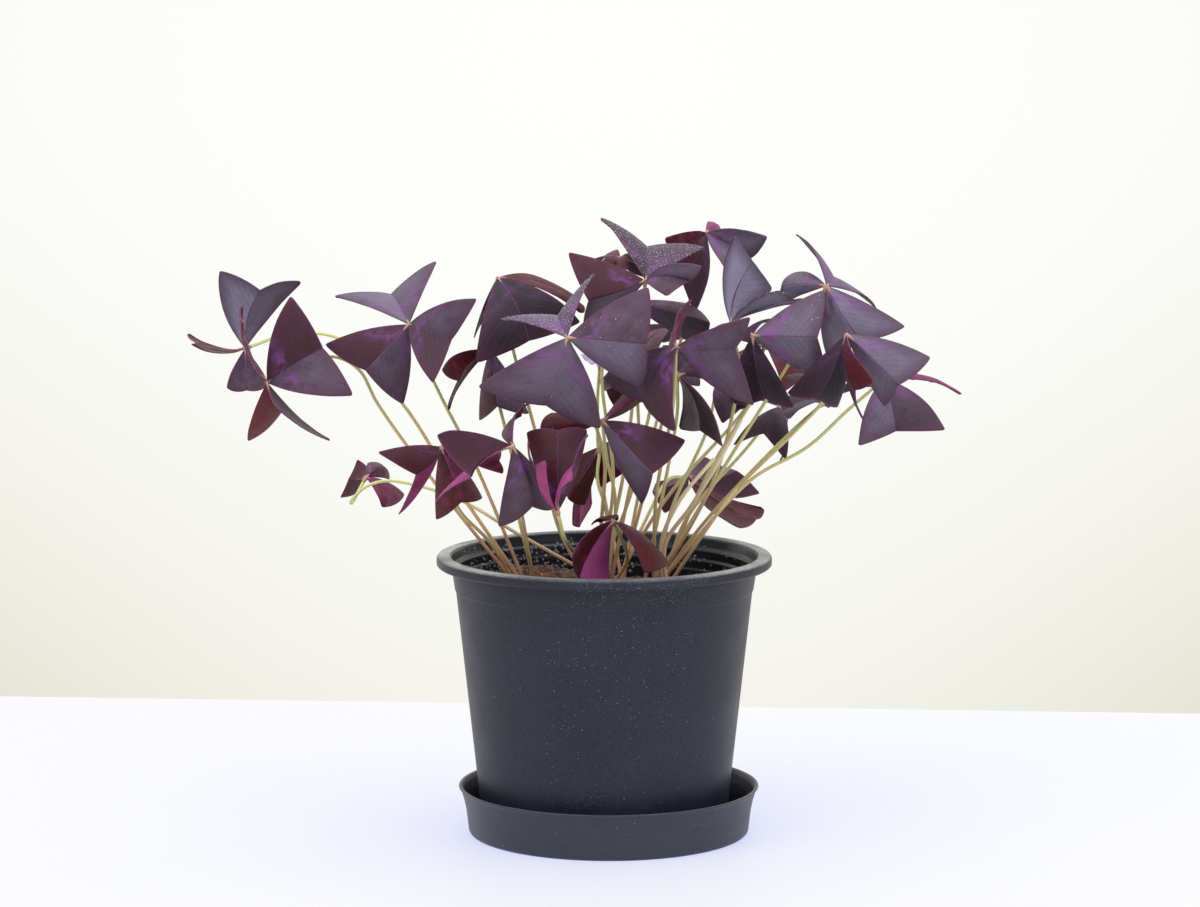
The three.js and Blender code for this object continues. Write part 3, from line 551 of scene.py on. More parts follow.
# Each leaf: its clump, its hub, its petiole's route, and its three leaflets. A leaflet is a
# lobe tip, notch and lobe tip as (right, up, away) from the hub, and the tone of each half,
# which velvety_blade explains.
leaves = [
    ("leaf_far_left_upper", "left", (-163, 15, 217),
     [(-70, -4, 160), (-92, 0, 194), (-120, 8, 222), (-145, 14, 223)],
     ((-10, 34, -20), (7, 26, -4), (24, 31, 17), 3.6, 3.25),
     ((-28, 7, 20), (-21, 3, 0), (-22, 1, -20), 0.9, 0.7),
     ((-6, -18, -28), (2, -19, -16), (13, -17, -26), 3.1, 3.1)),
    ("leaf_far_left_lower", "left", (-150, -25, 206),
     [(-77, -14, 160), (-102, -18, 196), (-110, -19, 211), (-121, -21, 217), (-136, -23, 213)],
     ((11, 38, -12), (25, 15, -6), (39, -6, -19), 0.3, 3.1),
     ((-12, 34, 4), (-10, 27, -8), (-9, 26, -30), 1.1, 1.1),
     ((-6, -26, -29), (8, -13, -20), (29, -26, -12), 0.9, -0.1)),
    ("leaf_left_top", "left", (-87, -38, 233),
     [(-60, -12, 170), (-72, -18, 195), (-80, -29, 214)],
     ((-34, 13, 18), (-9, 14, 23), (11, 29, 26), 3.3, 3.18),
     ((30, 11, -14), (19, -7, -10), (11, -26, -19), 3.1, 0.1),
     ((-38, -8, 16), (-19, -20, 3), (-3, -35, 18), 0.3, 3.15)),
    ("leaf_left_middle", "middle", (-49, -12, 251),
     [(-22, -6, 138), (-30, -5, 172), (-44, -7, 225)],
     ((-9, -38, -25), (14, -28, -10), (37, -19, 5), -0.6, -0.8),
     ((38, -15, 12), (35, -10, 22), (29, -4, 34), 1.0, 1.0),
     ((-12, -26, 30), (-4, -14, 26), (8, -30, 26), 1.0, 1.0)),
    ("leaf_front_large", "middle", (-18, -66, 230),
     [(-3, -12, 146), (-2, -20, 172), (-9, -30, 197), (-14, -55, 220)],
     ((-30, 9, 24), (-4, 10, 26), (12, 29, 24), 3.2, 3.12),
     ((35, 23, 17), (34, -3, 1), (32, -22, 17), 3.05, 3.33),
     ((-39, -21, 9), (-9, -29, 7), (15, -39, 21), 3.2, 3.2)),
    ("leaf_left_red", "left", (-52, -20, 220),
     [(-38, -10, 142), (-43, -12, 172), (-50, -14, 202)],
     ((-5, 4, 28), (0, 4, 22), (9, 2, 28), 1.3, 1.0),
     ((-21, -9, -26), (-13, -14, -18), (-19, -27, -4), 1.0, 1.0),
     ((-6, -31, 19), (3, -25, -2), (17, -28, 17), 0.6, 3.3)),
    ("leaf_left_low", "left", (-73, -52, 181),
     [(-52, -22, 134), (-66, -36, 152)],
     ((-26, -2, -26), (-10, -12, -17), (-18, -30, -6), 0.6, 1.4),
     ((-3, -32, 18), (9, -24, 0), (18, -22, 23), 1.0, 1.1),
     ((24, 1, 24), (25, -6, 14), (26, -12, 26), 1.2, 1.2)),
    ("leaf_left_front", "left", (-41, -80, 185),
     [(-36, -30, 132), (-40, -56, 156)],
     ((-32, 5, -26), (-17, -13, -18), (-34, -24, 0), 0.4, 1.7),
     ((-7, -35, 18), (8, -26, 12), (17, -27, 34), 3.1, 3.1),
     ((-2, 10, 40), (3, 13, 26), (6, 19, 24), 0.5, 0.5)),
    ("leaf_back_left", "back", (-113, 80, 150),
     [(-40, 30, 130), (-66, 46, 143), (-90, 62, 149), (-104, 66, 150), (-113, 65, 147),
      (-119, 66, 141), (-119, 73, 139)],
     ((-13, -10, 20), (-9, -1, 14), (-5, 8, 22), 0.4, 0.7),
     ((0, 7, 26), (7, 5, 18), (10, -1, 24), 0.4, 0.8),
     ((8, -14, -4), (13, -13, 4), (17, -8, 18), 1.15, 1.12)),
    ("leaf_low_front", "middle", (2, -40, 147),
     [(8, -26, 128)],
     ((-18, -14, -20), (-15, -25, -8), (-2, -29, 12), 1.0, 2.0),
     ((14, -22, -16), (23, -20, -2), (22, -16, 16), 0.95, 1.0),
     ((-10, -2, 24), (-6, -1, 17), (2, 0, 24), 1.0, 1.0)),
    ("leaf_low_left", "middle", (-22, -76, 156),
     [(-14, -28, 129), (-19, -50, 140)],
     ((-14, 34, 14), (0, 35, 4), (13, 35, 14), 0.6, 0.4),
     ((-13, 31, -8), (-9, 19, -12), (-5, 22, -22), 1.55, 1.55),
     ((13, 34, -10), (7, 20, -14), (6, 15, -26), 1.6, 1.6)),
    ("leaf_low_middle", "middle", (-4, -5, 175),
     [(-1, -12, 145), (-5, -11, 161)],
     ((-20, -10, 10), (-14, -23, -4), (-7, -26, 6), 0.85, 0.95),
     ((15, -2, 30), (10, -12, 20), (0, -18, 28), 3.1, 1.1),
     ((-12, -33, 4), (-9, -36, 12), (-4, -27, 24), 1.7, 1.7)),
    ("leaf_front_lower", "middle", (-3, -48, 192),
     [(3, -16, 150), (-1, -35, 174)],
     ((37, -8, 18), (22, -23, -4), (17, -37, 18), 0.3, 3.25),
     ((10, 13, 20), (16, 12, 13), (18, 9, 26), 1.1, 1.0),
     ((-22, 4, 26), (-27, -3, 18), (-25, -9, 30), 1.0, 0.9)),
    ("leaf_front_right", "right", (29, -55, 225),
     [(21, -18, 155), (28, -40, 198)],
     ((31, 12, -27), (25, -1, -16), (33, -26, -4), 3.12, 3.15),
     ((-32, -13, 26), (-14, -24, 12), (-1, -37, -15), 3.1, 0.2),
     ((7, 22, 32), (5, 14, 24), (2, 5, 38), 1.2, 1.2)),
    ("leaf_right_upright", "right", (53, -32, 233),
     [(46, -12, 160), (55, -20, 194), (57, -27, 214)],
     ((1, 38, -9), (10, 27, 6), (19, 16, 28), 3.85, 3.98),
     ((20, 14, -10), (28, 10, 4), (34, 10, 16), 3.98, 3.9),
     ((0, -12, 34), (-4, -10, 22), (-12, -12, 26), 0.3, 0.3)),
    ("leaf_right_dark", "right", (49, 16, 201),
     [(28, 4, 145), (44, 13, 180)],
     ((1, -18, -32), (9, -12, -24), (15, -9, -30), 3.05, 3.05),
     ((10, 4, 20), (6, 5, 15), (-2, 8, 22), 0.2, 0.2),
     ((-18, 6, 22), (-12, 6, 15), (-8, 12, 24), 0.2, 0.2)),
    ("leaf_right_front", "right", (62, -48, 229),
     [(42, -12, 160), (65, -30, 203), (69, -38, 214)],
     ((32, 21, 14), (28, -1, -2), (32, -20, 14), 3.2, 3.33),
     ((19, -31, 14), (6, -27, 6), (-8, -29, 24), -0.8, -0.8),
     ((-6, -2, 34), (2, 4, 24), (11, 8, 30), -0.3, -0.3)),
    ("leaf_right_top", "right", (95, -30, 249),
     [(50, -12, 165), (85, -24, 225)],
     ((-12, 25, 29), (3, 4, 27), (25, -9, 29), 3.2, 3.2),
     ((36, -17, 16), (15, -24, 2), (1, -30, 29), 3.38, 3.8),
     ((-12, 8, 36), (-19, 0, 20), (-17, -6, 32), 3.2, 3.9)),
    ("leaf_far_right", "right", (102, -62, 231),
     [(50, -20, 150), (60, -14, 161), (82, -21, 184), (95, -26, 199), (101, -42, 215)],
     ((38, -9, 20), (22, -22, 0), (17, -31, 20), 3.26, 3.33),
     ((-25, -25, 20), (-12, -27, 8), (-2, -31, 26), -0.5, -1.0),
     ((6, -38, -14), (3, -24, -15), (9, -21, -33), -0.1, 0.95)),
    ("leaf_far_right_low", "right", (121, -20, 207),
     [(36, -10, 131), (63, -17, 162), (88, -19, 177), (105, -20, 193)],
     ((-13, -29, -26), (4, -23, -18), (26, -22, -19), 3.25, 3.05),
     ((37, -6, 22), (22, -1, 20), (16, 1, 38), 1.2, 1.2),
     ((-22, 4, 34), (-12, 6, 26), (-4, 10, 38), 0.3, 0.3)),
    ("leaf_right_low", "right", (95, -15, 196),
     [(40, -6, 138), (60, -9, 161), (82, -13, 184)],
     ((-17, -7, -26), (-18, -4, -4), (-18, 2, 20), 3.25, 0.1),
     ((4, -2, 34), (12, 8, 20), (26, 8, 22), 0.3, 0.3),
     ((-16, 12, 26), (-6, 12, 22), (2, 18, 28), 0.3, 0.3)),
    ("leaf_right_black", "right", (77, 20, 190),
     [(34, 4, 140), (62, 14, 172)],
     ((-22, -17, -22), (-8, -12, -20), (2, -24, -26), -0.4, -0.4),
     ((2, -25, 24), (2, -12, 26), (3, -2, 38), -0.2, -0.2),
     ((-12, 4, 32), (-8, 6, 24), (-2, 8, 36), -0.2, -0.2)),
    ("leaf_back_right", "back", (37, 85, 150),
     [(16, 50, 132), (28, 72, 150)],
     ((36, -16, 4), (32, -20, -8), (23, -24, -24), 1.0, 1.0),
     ((35, -9, 30), (24, 2, 22), (9, 8, 38), 0.35, 0.3),
     ((-14, -4, 34), (-16, -8, 22), (-10, -18, 30), 0.5, 0.9)),
    ("leaf_top_back", "middle", (5, 10, 258),
     [(2, -10, 160), (-3, -11, 205), (-1, -7, 232)],
     ((-17, -3, 22), (-9, -1, 23), (-4, 3, 34), 0.6, 0.9),
     ((-10, -7, -24), (-3, -8, -18), (3, -6, -26), 1.05, 1.05),
     ((14, -8, 30), (12, -3, 22), (16, 1, 28), 0.3, 0.3)),
    ("leaf_top_middle", "middle", (16, -25, 251),
     [(6, -8, 160), (13, -20, 222)],
     ((-20, 29, 18), (1, 16, 23), (27, 16, 24), 3.02, 3.06),
     ((24, 5, -27), (19, -1, -20), (9, -8, -30), 3.25, 3.03),
     ((-34, 13, 6), (-25, -9, -4), (-27, -20, 17), 0.5, 3.4)),
    ("leaf_top_right", "back", (44, 40, 267),
     [(22, 44, 170), (38, 49, 240)],
     ((-19, -4, -30), (-12, -20, -14), (-5, -37, -8), 1.0, 0.3),
     ((27, -3, -22), (20, -12, -8), (12, -22, -26), 3.5, 3.3),
     ((3, 6, 34), (5, 4, 26), (8, 3, 35), 1.3, 1.3)),
    ("leaf_inner_left", "middle", (19, -18, 210),
     [(10, -10, 160), (18, -15, 192)],
     ((-23, -3, 30), (-20, -8, 14), (-14, -18, 30), 0.6, 0.6),
     ((6, 12, 34), (2, 8, 24), (-6, 8, 34), 0.3, 0.3),
     ((20, 6, 28), (18, 2, 20), (22, -6, 26), 3.3, 3.4)),
    ("leaf_inner_front", "right", (30, -32, 210),
     [(24, -12, 155), (30, -24, 192)],
     ((20, -31, -14), (10, -24, 2), (2, -23, 30), -0.5, -0.4),
     ((26, 0, 30), (20, 4, 20), (20, 12, 30), 0.5, 0.5),
     ((-6, 14, 34), (2, 10, 26), (8, 16, 34), 0.3, 0.3)),
    ("leaf_inner_top", "middle", (10, 0, 239),
     [(12, 8, 160), (13, 8, 192), (9, 4, 222)],
     ((25, 1, 26), (35, -9, 6), (30, -19, 26), 0.3, 3.15),
     ((-10, 4, 32), (-14, -3, 20), (-18, -6, 28), 0.2, 0.2),
     ((2, 8, 32), (0, 3, 24), (-8, 6, 32), 0.2, 0.2)),
    ("leaf_back_middle", "back", (30, 62, 222),
     [(14, 34, 150), (26, 56, 196)],
     ((-22, -4, 28), (-4, -6, 28), (14, -4, 34), 0.3, 0.3),
     ((22, -8, 20), (20, -12, -4), (16, -16, -28), 0.3, 0.3),
     ((-10, -16, -30), (-16, -14, -14), (-28, -14, 8), 0.6, 0.6)),
    ("leaf_back_outer", "back", (72, 64, 214),
     [(26, 34, 146), (66, 58, 190)],
     ((-14, 4, 34), (2, -2, 28), (18, -2, 34), 0.3, 0.3),
     ((26, -6, 18), (18, -14, -6), (8, -22, -22), 0.9, 0.9),
     ((-10, -14, -32), (-18, -12, -16), (-26, -16, 0), 0.3, 0.3)),
]
bloom_hub = (-4, 25, 209)
bloom_route = [(-4, 38, 160), (-5, 38, 190)]


def swept(points, spans):
    """Points along a centripetal Catmull-Rom curve through the given points."""
    line = [Vector(point) for point in points]
    line = [2 * line[0] - line[1], *line, 2 * line[-1] - line[-2]]
    curve = [line[1]]
    for a, b, c, d in zip(line, line[1:], line[2:], line[3:]):
        t1 = (b - a).length ** 0.5
        t2 = t1 + (c - b).length ** 0.5
        t3 = t2 + (d - c).length ** 0.5
        for step in range(1, spans + 1):
            t = t1 + (t2 - t1) * step / spans
            ab = a.lerp(b, t / t1)
            bc = b.lerp(c, (t - t1) / (t2 - t1))
            cd = c.lerp(d, (t - t2) / (t3 - t2))
            near = ab.lerp(bc, t / t2)
            far = bc.lerp(cd, (t - t1) / (t3 - t1))
            curve.append(near.lerp(far, (t - t1) / (t2 - t1)))
    return curve


def stalk_tree():
    """Round stalks along a mesh's loose edges, as thick as its girth attribute says."""
    nodes, given = growing_tree("stalks", Int=["Sides"], Material=["Material"])
    girth = nodes.add("GeometryNodeInputNamedAttribute", {"Name": "girth"}, data_type="FLOAT")
    path = nodes.add("GeometryNodeMeshToCurve", {"Mesh": given["Geometry"]})
    ring = nodes.add("GeometryNodeCurvePrimitiveCircle", {"Resolution": given["Sides"], "Radius": 1.0})
    stalk = nodes.add("GeometryNodeCurveToMesh", {
        "Curve": path[0], "Profile Curve": ring["Curve"], "Scale": girth[0], "Fill Caps": True,
    })
    smooth = nodes.add("GeometryNodeSetShadeSmooth", {"Geometry": stalk[0]})
    real = nodes.add("GeometryNodeRealizeInstances", {"Geometry": smooth[0]})
    dressed = nodes.add("GeometryNodeSetMaterial", {"Geometry": real[0], "Material": given["Material"]})
    nodes.give(Geometry=dressed[0])
    return nodes.tree


stalks = stalk_tree()


def store(piece, domain, columns):
    """Gives a piece's mesh a named list of numbers for each of its points or faces."""
    for label, values in columns.items():
        layer = piece.data.attributes.new(label, "FLOAT", domain)
        layer.data.foreach_set("value", values)


def stalk_piece(name, paths, sides, material):
    """One piece of stalks. A path is its points, and its girth, height share and hue there."""
    vertices = []
    edges = []
    columns = {"girth": [], "along": [], "hue": []}
    for points, girths, alongs, hue in paths:
        start = len(vertices)
        vertices.extend(point * MM for point in points)
        edges.extend((start + i, start + i + 1) for i in range(len(points) - 1))
        columns["girth"].extend(girth * MM for girth in girths)
        columns["along"].extend(alongs)
        columns["hue"].extend([hue] * len(points))
    piece = new_piece(name, vertices, [], edges)
    store(piece, "POINT", columns)
    piece.data.materials.append(material)
    grown(piece, stalks, {"Sides": sides, "Material": material})
    return piece


def shares(points):
    """How far along a path each of its points lies, from 0 to 1."""
    lengths = [0.0]
    for a, b in zip(points, points[1:]):
        lengths.append(lengths[-1] + (b - a).length)
    return [length / lengths[-1] for length in lengths]


def stalk_flesh():
    """Fleshy stalk: its colour runs from foot to neck, ruddier in blotches on some stalks."""
    nodes, given = surface_group("stalk flesh", ["Foot", "Middle", "Neck", "Ruddy"], [])
    along = nodes.marked("along")
    blotch = nodes.noise(nodes.place(), 120.0, 3.0)
    lower = nodes.mix(nodes.ramp(along, 0.02, 0.2), given["Foot"], given["Middle"])
    colour = nodes.mix(nodes.ramp(along, 0.22, 0.8), lower, given["Neck"])
    ruddy = nodes.times(nodes.marked("hue"), nodes.ramp(along, 0.75, 0.15),
                        nodes.ramp(blotch, 0.3, 0.6, 0.55, 1.0), clamp=True)
    colour = nodes.mix(ruddy, colour, given["Ruddy"])
    nodes.give(Colour=colour, Roughness=nodes.ramp(blotch, 0.3, 0.7, 0.42, 0.58), Height=blotch)
    return nodes.tree


flesh = stalk_flesh()


def fleshy(name, relief, foot, middle, neck, ruddy, **sockets):
    """A material of stalk flesh in its own four colours."""
    colours = {"Foot": (*foot, 1), "Middle": (*middle, 1), "Neck": (*neck, 1), "Ruddy": (*ruddy, 1)}
    return surfaced(name, flesh, relief, colours, **sockets)


petiole_material = fleshy(
    "petiole", 0.0001,
    (0.50, 0.24, 0.18), (0.67, 0.50, 0.25), (0.66, 0.66, 0.28), (0.50, 0.24, 0.15),
    Subsurface_Weight=0.15, Subsurface_Radius=(0.004, 0.003, 0.001), Subsurface_Scale=0.3)
bulb_material = fleshy(
    "bulb scales", 0.0004,
    (0.13, 0.05, 0.04), (0.24, 0.10, 0.09), (0.38, 0.17, 0.15), (0.10, 0.04, 0.03))


def foot_of(centre, i):
    """Where a clump's stalks leave the soil, one after another along a spiral."""
    spread = stem_spacing * math.sqrt(i + 0.5)
    x = centre[0] + spread * math.cos(i * stem_turn)
    y = centre[1] + spread * math.sin(i * stem_turn)
    return Vector((x, y, crown_top - rooted))


def clump(name, centre, stems, material, heart_girth, thickening=1.0):
    """The stalks of one clump with their bulbs, fused to the crown that they grow from."""
    chance = random.Random(name)
    stalk_paths = []
    bulb_paths = []
    for i, route in enumerate(stems):
        foot = foot_of(centre, i)
        points = swept([foot, *route], stem_spans)
        along = shares(points)
        girths = [thickening * (foot_girth + (neck_girth - foot_girth) * share) for share in along]
        stalk_paths.append((points, girths, along, chance.random()))
        size = chance.uniform(*bulb_sizes)
        spindle = [foot + Vector((0, 0, height)) for height, _ in bulb_shape]
        girths = [girth * size for _, girth in bulb_shape]
        bulb_paths.append((spindle, girths, shares(spindle), bulb_hue))
    heart = [Vector((*centre, height)) for height, _ in crown_shape]
    girths = [heart_girth * share for _, share in crown_shape]
    bulb_paths.append((heart, girths, shares(heart), crown_hue))
    piece = stalk_piece(name, stalk_paths, stem_sides, material)
    joined(piece, stalk_piece(name + ".bulbs", bulb_paths, bulb_sides, bulb_material))
    return piece


def joined(piece, other):
    """Joins another piece into one, with its materials and attributes."""
    with bpy.context.temp_override(active_object=piece, selected_editable_objects=[piece, other]):
        bpy.ops.object.join()


def arrival(hub, route):
    """The way in which a route comes in at its hub."""
    return (Vector(hub) - Vector(route[-1])).normalized()


def stem(hub, route):
    """A petiole's route with its end, where the joint under the hub begins."""
    return *route, Vector(hub) - arrival(hub, route) * joint_length


for label, centre in clumps.items():
    stems = [stem(hub, route) for _, home, hub, route, *_ in leaves if home == label]
    if label == "back":
        stems.append(stem(bloom_hub, bloom_route))
    petioles = clump("stalks_" + label, centre, stems, petiole_material, crown_girth)
    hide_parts("petioles_" + label)
    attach(petioles, "root")

# ---- Dry stalks -----------------------------------------------------------------------
# Two stalks whose leaves have dropped. They have dried to a pale cream and stand in the soil
# right of the middle.

dry_centre = (26, -24)
dry_routes = [
    [(25, -19, 133), (36, -20, 150), (46, -25, 167), (58, -28, 190)],
    [(23, -24, 134), (31, -28, 154), (46, -31, 173)],
]
dry_thickening = 1.15
dry_crown_girth = 3.6
dry_material = fleshy(
    "dry stalk", 0.0002,
    (0.50, 0.24, 0.18), (0.62, 0.44, 0.26), (0.78, 0.66, 0.42), (0.50, 0.28, 0.17))
dry = clump("stalks_dry", dry_centre, dry_routes, dry_material, dry_crown_girth, dry_thickening)
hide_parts("dry_stalks")
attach(dry, "root")

# ---- Leaves ---------------------------------------------------------------------------
# Three leaflets meet on a hub at the top of each petiole. Each is a thin triangular blade,
# folded at its midrib, with a shallow notch between two rounded lobes. Its upper side is
# plum with a violet chevron, and its underside burgundy.

blade_thickness = 0.45
# How a blade bends, in shares of its leaflet's length.
side_bulge = 0.055
blade_arch = 0.08
end_bulge = 0.03
belly = 0.02
lobe_droop = 0.015
ripple_depth = 0.012
edge_ripple_share = 0.5
ripple_size = 11
edge_ripples = 9
wave_seeds = (0, 40)
# The side of a blade that faces away from the front has a tone of its own.
hidden_upper_tone = 0.25
hidden_lower_tone = 0.95
front_view = Vector((0, -1, 0.13))
edge_on = 0.25
chevron_strengths = (0.45, 1.0)
lobe_start = 0.91
lobe_end = 0.05
across_steps = [0.0, 0.05, 0.12, 0.22, 0.34, 0.46, 0.58, 0.7, 0.81, lobe_start]
lobe_steps = [0.94, 0.96, 0.98, 1.0]
along_steps = [0.03, 0.08, 0.15, 0.24, 0.34, 0.44, 0.54, 0.64, 0.73, 0.81, 0.88, 0.94, 0.98, 1.0]
# The joint under a hub, as (way down from it, girth, colour share), and the rib under a
# leaflet, as (share of its length, girth, colour share).
joint_shape = [(joint_length, neck_girth, 0.0), (2.2, 0.95, 0.15), (1.1, 1.15, 0.3),
               (0.2, 1.0, 0.4), (-0.7, 0.3, 0.5)]
joint_hue = 0.4
rib_shape = [(0.0, 0.8, 0.2), (0.03, 0.8, 0.3), (0.08, 0.62, 0.45), (0.15, 0.42, 0.7),
             (0.3, 0.3, 0.9), (0.5, 0.22, 1), (0.7, 0.12, 1)]
rib_sink = 0.3
rib_hue = 0.3
hub_sides = 8
downy_hub = 4
rim_down = 0.6
# How thickly fine spray lies on each leaflet that is wet.
wet_leaflets = {
    ("leaf_front_large", 0): 1.0, ("leaf_top_middle", 0): 1.0, ("leaf_right_upright", 1): 1.0,
    ("leaf_front_large", 1): 0.04, ("leaf_right_front", 0): 0.04, ("leaf_front_large", 2): 0.01,
}


def hump(share):
    """Zero at both ends and one halfway."""
    return 4 * share * (1 - share)


def seen(step):
    """A step given as seen from a little above, turned into the plant's own axes."""
    right, up, away = step
    return Matrix.Rotation(-sight_tilt, 3, "X") @ Vector((right, away, up))


def across_way(step, way):
    """The direction of what is left of a step once its part along a unit way is gone."""
    return (step - way * step.dot(way)).normalized()


def half_edge(notch, tip):
    """The end edge of one half, from the notch round its lobe, with each point's share."""
    outward = across_way(notch, (tip - notch).normalized())
    edge = []
    for share in across_steps:
        bulge = outward * (tip.length * end_bulge * hump(share))
        edge.append((share, notch.lerp(tip, share) + bulge))
    start = edge[-1][1]
    end = tip * (1 - lobe_end)
    for share in lobe_steps:
        turn = (share - lobe_start) / (1 - lobe_start)
        edge.append((share, rounded(start, tip, end, turn)))
    return edge


def upward_side(axis, tip_a, notch, tip_b):
    """The normal of a leaflet's upper side, and -1 where its corners run the other way."""
    normal = notch.cross(tip_b) + tip_a.cross(notch)
    middle = notch.normalized()
    flip = -1 if normal.dot(middle - axis * middle.dot(axis) + axis) < 0 else 1
    return normal.normalized() * flip, flip


def leaflet(tip_a, notch, tip_b, axis, wave_seed):
    """A leaflet's middle surface: points, faces, and (across, along, rim) for each point."""
    length = tip_a.length
    columns = []
    for side, tip in ((-1, tip_a), (1, tip_b)):
        sideways = -across_way(notch, tip.normalized())
        face = notch.cross(tip).normalized() * side
        half = []
        for share, end in half_edge(notch, tip):
            half.append([(end * s + sideways * (tip.length * side_bulge * hump(s) * share * share),
                          face, side * share, s) for s in along_steps])
        columns = [*reversed(half[1:])] if side < 0 else columns + half
    normal, flip = upward_side(axis, tip_a, notch, tip_b)
    drift = Vector((wave_seed, 0, 0))
    points = [Vector((0, 0, 0))]
    marks = [(0.0, 0.0, 0.0)]
    for column in columns:
        for point, face, across, s in column:
            share = abs(across)
            lift = normal * (length * blade_arch * hump(s))
            lift += face * flip * (length * belly * hump(share) * s)
            lift -= face * flip * (length * lobe_droop * (share * s) ** 4)
            wave = noise.noise(point / ripple_size + drift) * ripple_depth * length * s
            ruffle = math.sin(s * edge_ripples + wave_seed) * ripple_depth
            edge_wave = ruffle * edge_ripple_share * length * share ** 3 * s
            points.append(point + lift + normal * (wave + edge_wave))
            marks.append((across, s, 1.0 if max(s, share) == 1 else 0.0))
    rows = len(along_steps)
    faces = []
    for c in range(len(columns) - 1):
        a = 1 + c * rows
        b = a + rows
        faces.append((0, a, b)[::flip])
        for r in range(rows - 1):
            faces.append((a + r, a + r + 1, b + r + 1, b + r)[::flip])
    return points, faces, marks


def blade_piece(name, place, axis, leaflets, thickness, materials):
    """Thin two-sided blades round a hub: the upper side, then the underside's material."""
    vertices = []
    faces = []
    marks = []
    tones = {"upper tone": [], "lower tone": [], "patch": []}
    wetness = []
    chance = random.Random(name)
    for corners, halves, wet in leaflets:
        start = len(vertices)
        points, cells, where = leaflet(*corners, axis, chance.uniform(*wave_seeds))
        vertices.extend(Vector(place) + point for point in points)
        faces.extend(tuple(start + i for i in cell) for cell in cells)
        marks.extend(where)
        strips = len(cells) // 2
        for half, tone in enumerate(halves):
            _, middle, across, *_ = cells[strips * half + strips // 2]
            facing = points[middle].cross(points[across]).normalized().dot(front_view)
            for label, front, hidden in (("upper tone", facing, hidden_upper_tone),
                                         ("lower tone", -facing, hidden_lower_tone)):
                tones[label].extend([tone if front > 0 or abs(facing) < edge_on else hidden] * strips)
        tones["patch"].extend([chance.uniform(*chevron_strengths)] * len(cells))
        wetness.extend([wet] * len(points))
    piece = new_piece(name, [v * MM for v in vertices], faces)
    piece.data.shade_smooth()
    store(piece, "FACE", tones)
    store(piece, "POINT", {"rim": [rim for _, _, rim in marks], "scatter": wetness})
    chart = piece.data.uv_layers.new(name="blade")
    for loop in piece.data.loops:
        across, along, _ = marks[loop.vertex_index]
        chart.data[loop.index].uv = (0.5 + 0.5 * across, along)
    for material in materials:
        piece.data.materials.append(material)
    shell = piece.modifiers.new("thickness", "SOLIDIFY")
    shell.thickness = thickness * MM
    shell.offset = 0
    shell.material_offset = 1
    settled(piece)
    return piece


